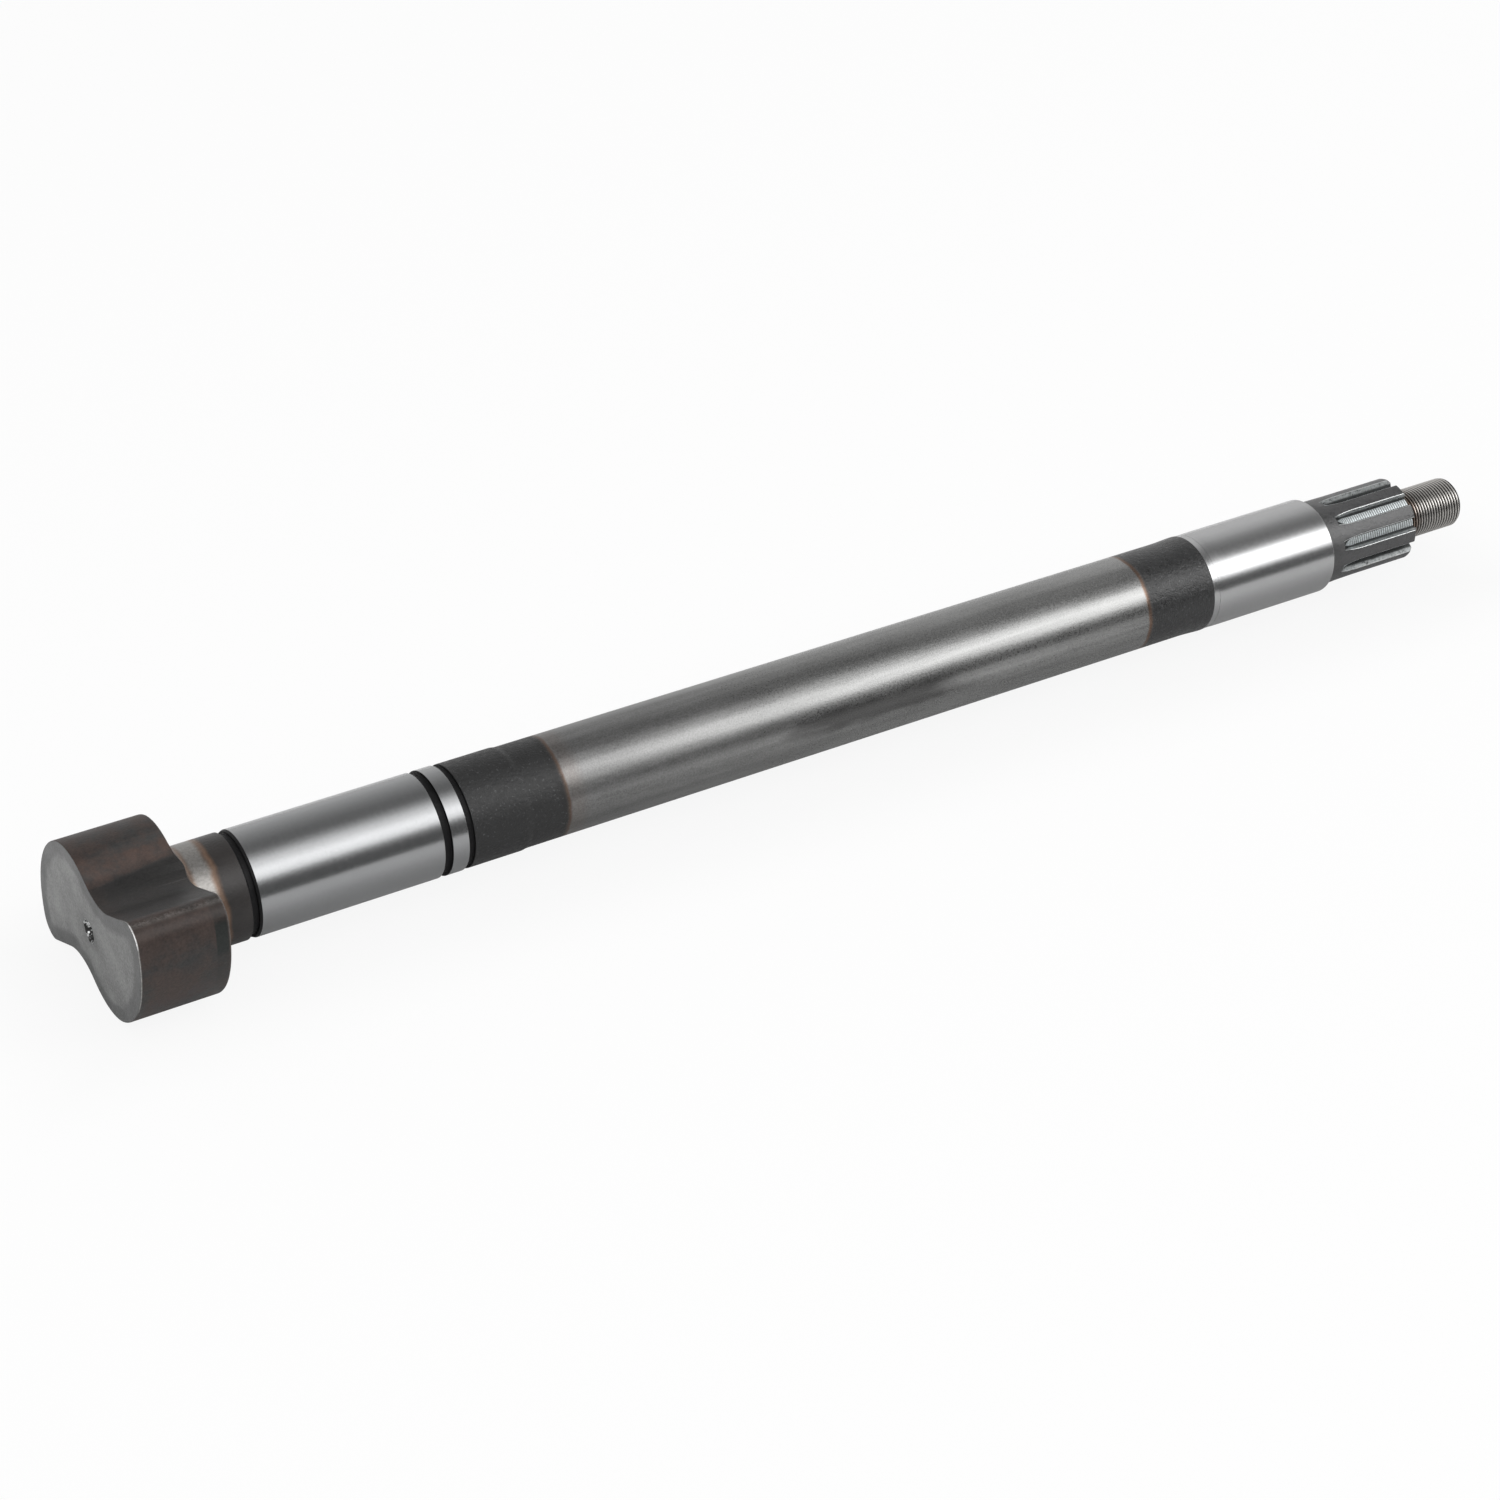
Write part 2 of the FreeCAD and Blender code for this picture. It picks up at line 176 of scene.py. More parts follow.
@dataclass(frozen=True)
class Cloud:
    """Noise pattern: features per millimetre along X, Y and Z, octaves and their weight."""

    stretch: Triple
    detail: float = 3.0
    rough: float = 0.55


class Graph:
    """Builds one node tree out of plain calls."""

    def __init__(self, tree: bpy.types.NodeTree) -> None:
        """Start with an empty tree.

        Args:
            tree: The node tree of a material or of the world.
        """
        self.tree = tree
        tree.nodes.clear()
        self._place: dict[str, Wire] = {}

    def node(
        self, kind: str, settings: dict[str, Any] | None = None, inputs: Sockets | None = None
    ) -> bpy.types.Node:
        """Add one node.

        Args:
            kind: The node's type name.
            settings: Properties set before the sockets; "stops" holds a ramp's stops.
            inputs: Values or links of the sockets, by name or index.

        Returns:
            The new node.
        """
        node = self.tree.nodes.new(kind)
        for name, value in (settings or {}).items():
            if name == "stops":
                self._set_stops(node.color_ramp, value)
            else:
                setattr(node, name, value)
        for key, value in (inputs or {}).items():
            if isinstance(value, Wire):
                value = value.socket
            if isinstance(value, bpy.types.NodeSocket):
                self.tree.links.new(value, node.inputs[key])
            elif isinstance(value, tuple) and node.inputs[key].type == "RGBA":
                node.inputs[key].default_value = (*value, 1.0)
            else:
                node.inputs[key].default_value = value
        return node

    @staticmethod
    def _set_stops(ramp: bpy.types.ColorRamp, stops: list[tuple[float, Colour]]) -> None:
        """Give a ramp its stops.

        Args:
            ramp: The ramp to set.
            stops: Place and colour of each stop, in rising order.
        """
        while len(ramp.elements) < len(stops):
            ramp.elements.new(1.0)
        for element, (place, colour) in zip(ramp.elements, stops):
            element.position = place
            element.color = (*colour, 1.0)

    def math(self, operation: str, *values: Wire | float) -> Wire:
        """Add one Math node.

        Args:
            operation: The node's operation.
            values: Its inputs, in order.

        Returns:
            The node's result.
        """
        node = self.node("ShaderNodeMath", {"operation": operation}, dict(enumerate(values)))
        return Wire(self, node.outputs[0])

    def place(self, axis: str) -> Wire:
        """One coordinate of the surface point, in millimetres of the part's own frame.

        Args:
            axis: "X", "Y" or "Z".

        Returns:
            The coordinate.
        """
        if not self._place:
            spot = self.node("ShaderNodeTexCoord").outputs["Object"]
            split = self.node("ShaderNodeSeparateXYZ", {}, {0: spot})
            for name in "XYZ":
                self._place[name] = Wire(self, split.outputs[name]) * (1 / MM)
        return self._place[axis]

    def radius(self) -> Wire:
        """Distance from the shaft's axis, in millimetres."""
        across, up = self.place("Y"), self.place("Z")
        return self.math("SQRT", across * across + up * up)

    def angle(self) -> Wire:
        """Angle about the shaft's axis, in radians from +Y towards +Z."""
        return self.math("ARCTAN2", self.place("Z"), self.place("Y"))

    def noise(self, cloud: Cloud) -> Wire:
        """Cloudy noise, about a half on average.

        Args:
            cloud: The noise's pattern.

        Returns:
            The noise value.
        """
        spot = self.node("ShaderNodeTexCoord").outputs["Object"]
        scale = tuple(value / MM for value in cloud.stretch)
        spread = self.node("ShaderNodeVectorMath", {"operation": "MULTIPLY"}, {0: spot, 1: scale})
        inputs = {"Scale": 1.0, "Detail": cloud.detail, "Roughness": cloud.rough}
        node = self.node("ShaderNodeTexNoise", {}, {"Vector": spread.outputs[0], **inputs})
        return Wire(self, node.outputs[0])

    def mix(self, share: Wire | float, first: Tint, second: Tint) -> bpy.types.NodeSocket:
        """Blend two colours.

        Args:
            share: How much of the second colour.
            first: Colour at share 0.
            second: Colour at share 1.

        Returns:
            The blended colour.
        """
        inputs = {0: share, 6: first, 7: second}
        return self.node("ShaderNodeMix", {"data_type": "RGBA"}, inputs).outputs[2]

    def shade(self, colour: Tint, amount: Wire) -> bpy.types.NodeSocket:
        """Multiply a colour by a value.

        Args:
            colour: The colour.
            amount: The factor.

        Returns:
            The shaded colour.
        """
        inputs = {0: colour, "Scale": amount}
        return self.node("ShaderNodeVectorMath", {"operation": "SCALE"}, inputs).outputs[0]

    def bump(self, height: Wire, depth: float, strength: float) -> bpy.types.NodeSocket:
        """Surface relief.

        Args:
            height: Relief between 0 and 1.
            depth: Its full depth in millimetres.
            strength: How much of it shows.

        Returns:
            The bent normal.
        """
        inputs = {"Strength": strength, "Distance": depth * MM, "Height": height}
        return self.node("ShaderNodeBump", {}, inputs).outputs[0]

    def glow(self, colour: Tint, strength: float = 1.0) -> bpy.types.NodeSocket:
        """Shader that gives light of its own.

        Args:
            colour: The light's colour.
            strength: Its strength.

        Returns:
            The shader.
        """
        inputs = {"Color": colour, "Strength": strength}
        return self.node("ShaderNodeEmission", {}, inputs).outputs[0]

    def surface(self, shader: bpy.types.NodeSocket, kind: str = "Material") -> None:
        """Connect a shader to the tree's output.

        Args:
            shader: The shader.
            kind: "Material" or "World".
        """
        self.node("ShaderNodeOutput" + kind, {}, {"Surface": shader})


def new_graph(name: str) -> tuple[bpy.types.Material, Graph]:
    """Make an empty material.

    Args:
        name: The material's name.

    Returns:
        The material and its graph.
    """
    material = bpy.data.materials.new(name)
    material.use_nodes = True
    return material, Graph(material.node_tree)


# Finishes


@dataclass(frozen=True)
class Finish(ABC):
    """A finish of the skin; each kind works out the values of the shader's sockets."""

    name: str

    def dress(self) -> bpy.types.Material:
        """Build the material.

        Returns:
            The material.
        """
        material, graph = new_graph(self.name)
        shader = graph.node("ShaderNodeBsdfPrincipled", {}, self.sockets(graph))
        graph.surface(shader.outputs[0])
        return material

    @abstractmethod
    def sockets(self, graph: Graph) -> Sockets:
        """Values and links of the shader's sockets.

        Args:
            graph: The material's graph.

        Returns:
            The values and links by socket.
        """


@dataclass(frozen=True)
class GroundSteel(Finish):
    """Journal ground between centres: bright, with fine lines that run round the shaft."""

    name: str = "ground_steel"
    colour: Colour = (0.36, 0.365, 0.37)
    roughness: float = 0.2
    relief: Span = (0.06, 0.5)
    lines: Cloud = Cloud((2.4, 0.05, 0.05), 4.0)
    clouds: Cloud = Cloud((0.05, 0.12, 0.12))
    grain: Cloud = Cloud((0.9, 0.9, 0.9), rough=0.6)

    def sockets(self, graph: Graph) -> Sockets:
        """Values and links of the shader's sockets.

        Args:
            graph: The material's graph.

        Returns:
            The values and links by socket.
        """
        lines, grain = graph.noise(self.lines), graph.noise(self.grain)
        clouds = graph.noise(self.clouds)
        tone = 0.93 + 0.1 * lines + 0.08 * clouds.sway() + 0.12 * grain.sway()
        return {
            "Base Color": graph.shade(self.colour, tone),
            "Metallic": 1.0,
            "Roughness": self.roughness + 0.08 * lines.sway() + 0.06 * grain.sway(),
            "Normal": graph.bump(0.5 * lines + 0.5 * grain, *self.relief),
        }


@dataclass(frozen=True)
class DrilledSteel(Finish):
    """Centre hole: drilled steel, dark, with a few bright bare spots that also serve as painted
    glints.
    """

    name: str = "drilled_steel"
    bare: Colour = (0.75, 0.76, 0.76)
    dark_tone: Colour = (0.02, 0.02, 0.019)
    bare_and_glint_rise: Span = (0.48, 0.56)
    relief: Span = (0.5, 1.0)
    chips: Cloud = Cloud((0.35, 0.35, 0.35), rough=0.65)

    def sockets(self, graph: Graph) -> Sockets:
        """Values and links of the shader's sockets.

        Args:
            graph: The material's graph.

        Returns:
            The values and links by socket.
        """
        chips = graph.noise(self.chips)
        # Bright bare chips on a dark tone; the chips are partly painted glints.
        share = chips.rise(*self.bare_and_glint_rise)
        return {
            "Base Color": graph.mix(share, self.dark_tone, self.bare),
            "Metallic": 0.3 + 0.7 * share,
            "Roughness": 0.45 - 0.25 * share,
            "Normal": graph.bump(chips, *self.relief),
        }


@dataclass(frozen=True)
class ShankSteel(Finish):
    """Turned shank: satin steel between two stretches of black oxide with tinted borders."""

    name: str = "shank_steel"
    bright: Colour = (0.262, 0.262, 0.259)
    oxide: Colour = (0.011, 0.0112, 0.0116)
    tint: Colour = (0.15, 0.075, 0.038)
    smudge: Colour = (0.07, 0.069, 0.068)
    steel_roughness: float = 0.29
    oxide_roughness: float = 0.5
    gloss: float = 0.62
    relief: Span = (0.3, 0.8)
    bright_start: float = 90.0
    bright_end: float = 368.8
    border_sway: float = 2.4
    dull_end: float = 230.0
    speck_rise: Span = (0.6, 0.72)
    band_rise: Span = (300.0, 360.0)
    smudge_along: Triple = (195.0, 270.0, 30.0)
    smudge_round: Triple = (math.radians(164.0), math.radians(187.0), 0.25)
    smudge_sway: float = 60.0
    speckle: Cloud = Cloud((1.5, 1.5, 1.5), 2.0, 0.6)
    specks: Cloud = Cloud((1.0, 1.0, 1.0), 2.0, 0.6)
    mottle: Cloud = Cloud((0.55, 0.7, 0.7), rough=0.7)
    lines: Cloud = Cloud((1.6, 0.06, 0.06))
    streaks: Cloud = Cloud((0.012, 0.3, 0.3), 4.0)
    clouds: Cloud = Cloud((0.03, 0.08, 0.08))
    border: Cloud = Cloud((0.02, 0.09, 0.09))
    wobble: Cloud = Cloud((0.03, 0.1, 0.1), 4.0)

    def sockets(self, graph: Graph) -> Sockets:
        """Values and links of the shader's sockets.

        Args:
            graph: The material's graph.

        Returns:
            The values and links by socket.
        """
        start, end, place = self.bright_start, self.bright_end, graph.place("X")
        speckle, clouds = graph.noise(self.speckle), graph.noise(self.clouds)
        mottle, lines = graph.noise(self.mottle), graph.noise(self.lines)
        along = place + graph.noise(self.border).sway() * self.border_sway
        share = along.rise(start - 0.6, start + 2.6) * (1 - along.rise(end - 1.6, end + 0.8))

        fringe = along.band(start - 0.2, start + 1.6, 1.2) + along.band(end - 1.8, end + 0.2, 1.2)
        glow = along.band(start + 1.0, start + 8.0, 6.0)
        dull = 1 - place.rise(start, self.dull_end)
        streaks = graph.noise(self.streaks).sway()
        tone = 1.0 + 0.9 * speckle.sway() + 0.7 * streaks + 0.4 * clouds.sway()
        steel = graph.shade(self.bright, tone * (1 - 0.18 * dull))
        steel = graph.mix(0.8 * self._smudge(graph), steel, self.smudge)
        steel = graph.mix(0.14 * glow, steel, self.tint)
        steel = graph.mix((0.75 * fringe).clamp(), steel, self.tint)

        scorch = along.band(start - 2.4, start + 1.0, 1.4)
        dark_band = place.rise(*self.band_rise)
        tone = 0.5 + clouds + 0.8 * speckle.sway() + 1.6 * mottle.sway()
        tone = tone * (1 - 0.6 * scorch) * (0.6 + 0.4 * dark_band)
        tone = tone + 4.0 * graph.noise(self.specks).rise(*self.speck_rise)
        oxide_rough = self.oxide_roughness - 0.16 * dark_band + 0.16 * clouds.sway()
        oxide_rough = oxide_rough + 0.5 * mottle.sway()
        steel_rough = self.steel_roughness + 0.22 * speckle.sway() + 0.06 * clouds.sway()
        steel_rough = steel_rough + 0.08 * dull
        relief = (0.8 * speckle + 0.2 * lines) * (0.16 + 0.5 * (1 - share))
        return {
            "Base Color": graph.mix(share, graph.shade(self.oxide, tone), steel),
            "Metallic": 0.06 + 0.94 * share,
            "Roughness": share * steel_rough + (1 - share) * oxide_rough,
            "Specular IOR Level": self.gloss,
            "Normal": graph.bump(relief + 1.1 * mottle * (1 - share), *self.relief),
        }

    def _smudge(self, graph: Graph) -> Wire:
        """Mask of the dark smudge low on the side towards the camera.

        Args:
            graph: The material's graph.

        Returns:
            The mask.
        """
        wobble = graph.noise(self.wobble).sway()
        along = graph.place("X") + wobble * self.smudge_sway
        turned = (graph.angle() + wobble * 0.5).wrap(FULL_TURN)
        return along.band(*self.smudge_along) * turned.band(*self.smudge_round)


@dataclass(frozen=True)
class BlackOxide(Finish):
    """Black skin left by heating, in the grooves and on the spline's teeth."""

    name: str
    colour: Colour
    roughness: float
    mottle: float
    gloss: float
    relief: Span = (0.35, 0.8)
    clouds: Cloud = Cloud((0.15, 0.2, 0.2), 4.0)
    grain: Cloud = Cloud((0.6, 0.7, 0.7), 4.0, 0.7)

    def sockets(self, graph: Graph) -> Sockets:
        """Values and links of the shader's sockets.

        Args:
            graph: The material's graph.

        Returns:
            The values and links by socket.
        """
        clouds, grain = graph.noise(self.clouds), graph.noise(self.grain)
        tone = 1.0 + self.mottle * 2.0 * clouds.sway() + self.mottle * 2.4 * grain.sway()
        return {
            "Base Color": graph.shade(self.colour, tone),
            "Roughness": self.roughness + 0.2 * clouds.sway() + 0.45 * grain.sway(),
            "Specular IOR Level": self.gloss,
            "Normal": graph.bump(grain, *self.relief),
        }


@dataclass(frozen=True)
class ForgedSkin(Finish):
    """Flanks of the cam head: hardened, dark, with brown oxide in patches, painted shade partly
    darkening the hollows and a painted glint on the face edge near each tip.
    """

    name: str = "forged_skin"
    dark: Colour = (0.0245, 0.0238, 0.0232)
    brown: Colour = (0.0365, 0.024, 0.0198)
    scorched: Colour = (0.006, 0.009, 0.008)
    worn: Colour = (0.3, 0.3, 0.29)
    bare: Colour = (0.85, 0.85, 0.84)
    metal: float = 0.12
    roughness: float = 0.5
    gloss: float = 0.45
    relief: Span = (0.25, 0.7)
    face: float = -96.7
    back: float = -62.1
    brown_rise: Span = (0.36, 0.54)
    edge_radius: Span = (43.0, 47.0)
    scorch_upright: Triple = (8.0, 22.0, 3.0)
    pocket: Span = (2.5, 42.5)
    pocket_soft: float = 0.7
    pocket_floor: Span = (-19.5, -16.0)
    pocket_slant: float = 3.4
    stripe: Triple = (-1.0, 9.0, 6.0)
    stripe_height: Span = (14.0, 18.0)
    crest_start: float = math.radians(149.0)
    painted_glint_end: float = math.radians(158.0)
    crest_width: float = 0.03
    patches: Cloud = Cloud((0.05, 0.06, 0.06), 5.0, 0.6)
    streaks: Cloud = Cloud((0.02, 0.25, 0.25))
    grain: Cloud = Cloud((1.0, 1.0, 1.0), rough=0.7)
    blots: Cloud = Cloud((0.16, 0.14, 0.14), 5.0, 0.65)
    wobble: Cloud = Cloud((0.08, 0.1, 0.1))

    def sockets(self, graph: Graph) -> Sockets:
        """Values and links of the shader's sockets.

        Args:
            graph: The material's graph.

        Returns:
            The values and links by socket.
        """
        along, far = graph.place("X"), graph.radius().rise(*self.edge_radius)
        grain, blots = graph.noise(self.grain), graph.noise(self.blots)
        patches, streaks = graph.noise(self.patches), graph.noise(self.streaks)
        pocket = self._pocket(graph)
        share = (0.5 * patches + 0.15 * streaks + 0.35 * blots).rise(*self.brown_rise)
        # The hollows come out darker and less brown: partly a smoother roller track, partly painted
        # shade.
        tone = 1.0 + 1.6 * grain.sway() + 1.3 * blots.sway() * (1 - 0.75 * pocket)
        tone = tone * (1 - 0.3 * pocket) + self._stripe(graph)
        colour = graph.mix(share * (1 - 0.9 * pocket), self.dark, self.brown)

        upright = graph.place("Z") * (-graph.place("Y")).sign()
        scorch = along.band(self.back - 5.5, self.back - 0.8, 0.7) * far
        scorch = scorch * (0.35 + 0.65 * upright.band(*self.scorch_upright))
        colour = graph.mix(0.95 * scorch, colour, self.scorched)
        worn = (1 - along.rise(self.face + 0.25, self.face + 0.75)) * far
        worn = worn + 0.22 * along.rise(self.back - 0.7, self.back - 0.3) * far
        colour = graph.mix((0.8 * worn).clamp(), colour, self.worn)

        around = (graph.angle() + grain.sway() * self.crest_width).wrap(math.pi)
        crest_top = self.crest_start + self.crest_width
        crest = around.band(self.crest_start, crest_top, self.crest_width) * far
        colour = graph.mix(0.34 * crest * (0.9 * grain).clamp(), colour, self.worn)
        # Painted glint: a bright spot in the bare colour on the face edge near each tip.
        painted_glint = around.band(self.crest_start, self.painted_glint_end, 0.04) * far
        painted_glint = painted_glint * (1 - along.rise(self.face + 0.2, self.face + 0.7))
        colour = graph.mix(0.85 * painted_glint, colour, self.bare)
        return {
            "Base Color": graph.shade(colour, tone),
            "Metallic": self.metal,
            "Roughness": self.roughness + 0.3 * blots.sway() - 0.1 * pocket,
            "Specular IOR Level": self.gloss,
            "Normal": graph.bump(0.6 * grain + 0.4 * blots, *self.relief),
        }

    def _slant(self, graph: Graph) -> Wire:
        """How far the hollow's border lies off its line, most at the face."""
        return self.pocket_slant * (1 - graph.place("X").rise(self.face, self.back))

    def _stripe(self, graph: Graph) -> Wire:
        """Mask of the lighter brown stripe beside each hollow flank.

        Args:
            graph: The material's graph.

        Returns:
            The mask.
        """
        across, up = graph.place("Y"), graph.place("Z")
        beside = across * up.sign() + self._slant(graph) + graph.noise(self.wobble).sway() * 6.0
        return beside.band(*self.stripe) * up.size().rise(*self.stripe_height)

    def _pocket(self, graph: Graph) -> Wire:
        """Mask of the two hollow flanks, where the rollers lie; it darkens them, partly as painted
        shade.

        Args:
            graph: The material's graph.

        Returns:
            The mask.
        """
        across, up = graph.place("Y"), graph.place("Z")
        (start, end), soft = self.pocket, self.pocket_soft
        inner = (across.size() - self._slant(graph)).rise(start - soft, start + soft)
        inner = inner * (1 - across.size().rise(end - soft, end + soft))
        lower = 1 - (up * across.sign()).rise(*self.pocket_floor)
        behind = graph.place("X").rise(self.face + 2.0, self.face + 7.0)
        return inner * lower * (0.6 + 0.4 * behind)


@dataclass(frozen=True)
class SawnFace(Finish):
    """Cam face: matt grey, darker in the hardened band that follows the outline."""

    name: str = "sawn_face"
    middle: Colour = (0.225, 0.227, 0.224)
    rim: Colour = (0.137, 0.138, 0.138)
    metal: float = 0.35
    roughness: float = 0.48
    relief: Span = (0.3, 0.7)
    rim_fade: Span = (4.5, 7.7)
    rim_sway: float = 6.0
    border_fade: Span = (0.2, 0.9)
    dirt_radius: Span = (4.5, 10.0)
    wobble: Cloud = Cloud((0.1, 0.13, 0.13), 4.0)
    grain: Cloud = Cloud((0.9, 0.9, 0.9), 4.0, 0.7)
    clouds: Cloud = Cloud((0.1, 0.1, 0.1), 4.0, 0.6)

    def sockets(self, graph: Graph) -> Sockets:
        """Values and links of the shader's sockets.

        Args:
            graph: The material's graph.

        Returns:
            The values and links by socket.
        """
        inset = graph.node("ShaderNodeAttribute", {"attribute_name": "inset"})
        depth = Wire(graph, inset.outputs["Fac"])
        grain, clouds = graph.noise(self.grain), graph.noise(self.clouds)
        share = (depth + graph.noise(self.wobble).sway() * self.rim_sway).rise(*self.rim_fade)
        border = 1 - depth.rise(*self.border_fade)
        dark_tone = (1 - graph.radius().rise(*self.dirt_radius)) * (0.6 + 1.6 * grain.sway())
        tone = 1.0 + 1.9 * grain.sway() + clouds.sway() - 0.15 * border - 0.4 * dark_tone
        return {
            "Base Color": graph.shade(graph.mix(share, self.rim, self.middle), tone),
            "Metallic": self.metal,
            "Roughness": self.roughness + 0.25 * grain.sway(),
            "Normal": graph.bump(0.6 * grain + 0.4 * clouds, *self.relief),
        }


@dataclass(frozen=True)
class NeckSteel(Finish):
    """Neck under the head: one bright strip between bands of brown and grey oxide."""

    name: str = "neck_steel"
    bright: Colour = (0.33, 0.318, 0.303)
    oxide: Colour = (0.024, 0.021, 0.02)
    tint: Colour = (0.16, 0.085, 0.045)
    roughness: float = 0.34
    relief: Span = (0.2, 0.7)
    strip_start: float = -60.5
    strip_end: float = -51.2
    strip_sway: float = 4.0
    soft: float = 2.2
    speckle: Cloud = Cloud((0.9, 0.9, 0.9), 4.0, 0.7)
    clouds: Cloud = Cloud((0.1, 0.12, 0.12))
    wobble: Cloud = Cloud((0.03, 0.07, 0.07))

    def sockets(self, graph: Graph) -> Sockets:
        """Values and links of the shader's sockets.

        Args:
            graph: The material's graph.

        Returns:
            The values and links by socket.
        """
        speckle, clouds = graph.noise(self.speckle), graph.noise(self.clouds)
        start, end = self.strip_start, self.strip_end
        along = graph.place("X") + graph.noise(self.wobble).sway() * self.strip_sway
        strip = along.band(start, end, self.soft)
        fringe = along.band(end - 1.3, end + 1.1, self.soft)
        fringe = fringe + 0.9 * along.band(start - 0.5, start + 1.5, 2.0)
        steel = graph.shade(self.bright, 0.45 + 0.9 * speckle)
        oxide = graph.shade(self.oxide, 0.6 + 0.8 * clouds)
        colour = graph.mix(strip, oxide, steel)
        return {
            "Base Color": graph.mix((0.7 * fringe).clamp(), colour, self.tint),
            "Metallic": 0.12 + 0.78 * strip,
            "Roughness": self.roughness + 0.1 * clouds - 0.04 * strip + 0.2 * speckle.sway(),
            "Normal": graph.bump(speckle, *self.relief),
        }


@dataclass(frozen=True)
class MilledGap(Finish):
    """Milled floor and flanks between the teeth, with the cutter's ripples across and painted shade
    in the corners beside the floor.
    """

    name: str = "milled_gap"
    colour: Colour = (0.6, 0.64, 0.65)
    flank: Colour = (0.52, 0.54, 0.54)
    oxide: Colour = (0.012, 0.014, 0.014)
    worn: Colour = (0.85, 0.87, 0.87)
    roughness: float = 0.42
    relief: Span = (0.14, 0.9)
    ripple_pitch: float = 1.2
    teeth: int = 10
    first_gap: float = math.radians(19.5)
    floor_half: float = 1.79
    floor_fade: Span = (0.5, 0.1)
    climb: float = 1.5
    climb_radius: Span = (15.2, 18.6)
    corner_shade_radius: Span = (16.0, 17.1)
    edge_across: Span = (2.2, 2.5)
    edge_radius: Span = (18.1, 18.4)
    grain: Cloud = Cloud((1.0, 1.2, 1.2))
    patches: Cloud = Cloud((0.25, 0.5, 0.5), 4.0, 0.7)

    def sockets(self, graph: Graph) -> Sockets:
        """Values and links of the shader's sockets.

        Args:
            graph: The material's graph.

        Returns:
            The values and links by socket.
        """
        radius, half_step = graph.radius(), FULL_TURN / self.teeth / 2
        grain, patches = graph.noise(self.grain), graph.noise(self.patches)
        wave = graph.math("SINE", graph.place("X") * (FULL_TURN / self.ripple_pitch))
        turned = (graph.angle() - self.first_gap + half_step).wrap(2 * half_step)
        across = (radius * graph.math("SINE", turned - half_step)).size()
        climb = radius.rise(*self.climb_radius) * self.climb
        low, high = (self.floor_half - margin for margin in self.floor_fade)
        floor = 1 - (across + climb).rise(low, high)
        wave = wave * floor

        bare = (0.5 * patches + 0.5 * grain).rise(0.3, 0.5)
        bare = bare * across.rise(self.floor_half - 0.2, self.floor_half + 0.15)
        colour = graph.mix(bare, self.oxide, self.flank)
        # Painted shade: the corners where the floor meets the flanks get the dark oxide colour and
        # less metal.
        corner = (1 - floor) * (1 - radius.rise(*self.corner_shade_radius))
        colour = graph.mix(0.93 * corner, colour, self.oxide)
        colour = graph.mix(floor, colour, self.colour)
        edge = across.rise(*self.edge_across) * radius.rise(*self.edge_radius)
        colour = graph.mix((0.8 * edge).clamp(), colour, self.worn)
        return {
            "Base Color": graph.shade(colour, 0.4 + 0.8 * grain + 0.45 * wave),
            "Metallic": 0.85 - 0.6 * corner,
            "Roughness": self.roughness + 0.14 * grain.sway(),
            "Normal": graph.bump(0.5 + 0.5 * wave + 0.4 * grain, *self.relief),
        }


@dataclass(frozen=True)
class ThreadSteel(Finish):
    """Threaded stud: bright cut steel, tinted brown beside the spline, with painted shade in the
    thread's valleys.
    """

    name: str = "thread_steel"
    colour: Colour = (0.5, 0.485, 0.465)
    tint: Colour = (0.2, 0.115, 0.07)
    tint_fade: Span = (517.0, 525.5)
    tint_sway: float = 5.0
    valley_shade_radius: Span = (10.4, 10.95)
    metal: float = 0.95
    roughness: float = 0.24
    relief: Span = (0.02, 0.4)
    grain: Cloud = Cloud((1.5, 1.0, 1.0))
    clouds: Cloud = Cloud((0.12, 0.2, 0.2))

    def sockets(self, graph: Graph) -> Sockets:
        """Values and links of the shader's sockets.

        Args:
            graph: The material's graph.

        Returns:
            The values and links by socket.
        """
        grain = graph.noise(self.grain)
        along = graph.place("X") + graph.noise(self.clouds).sway() * self.tint_sway
        share = 1 - along.rise(*self.tint_fade)
        # Painted shade: the colour darkens towards the thread's valleys.
        painted_valley_shade = 1 - graph.radius().rise(*self.valley_shade_radius)
        colour = graph.mix((0.85 * share).clamp(), self.colour, self.tint)
        return {
            "Base Color": graph.shade(colour, 1.0 + 0.3 * grain - 1.08 * painted_valley_shade),
            "Metallic": self.metal,
            "Roughness": self.roughness + 0.12 * grain,
            "Normal": graph.bump(grain, *self.relief),
        }


# The shaft's skin


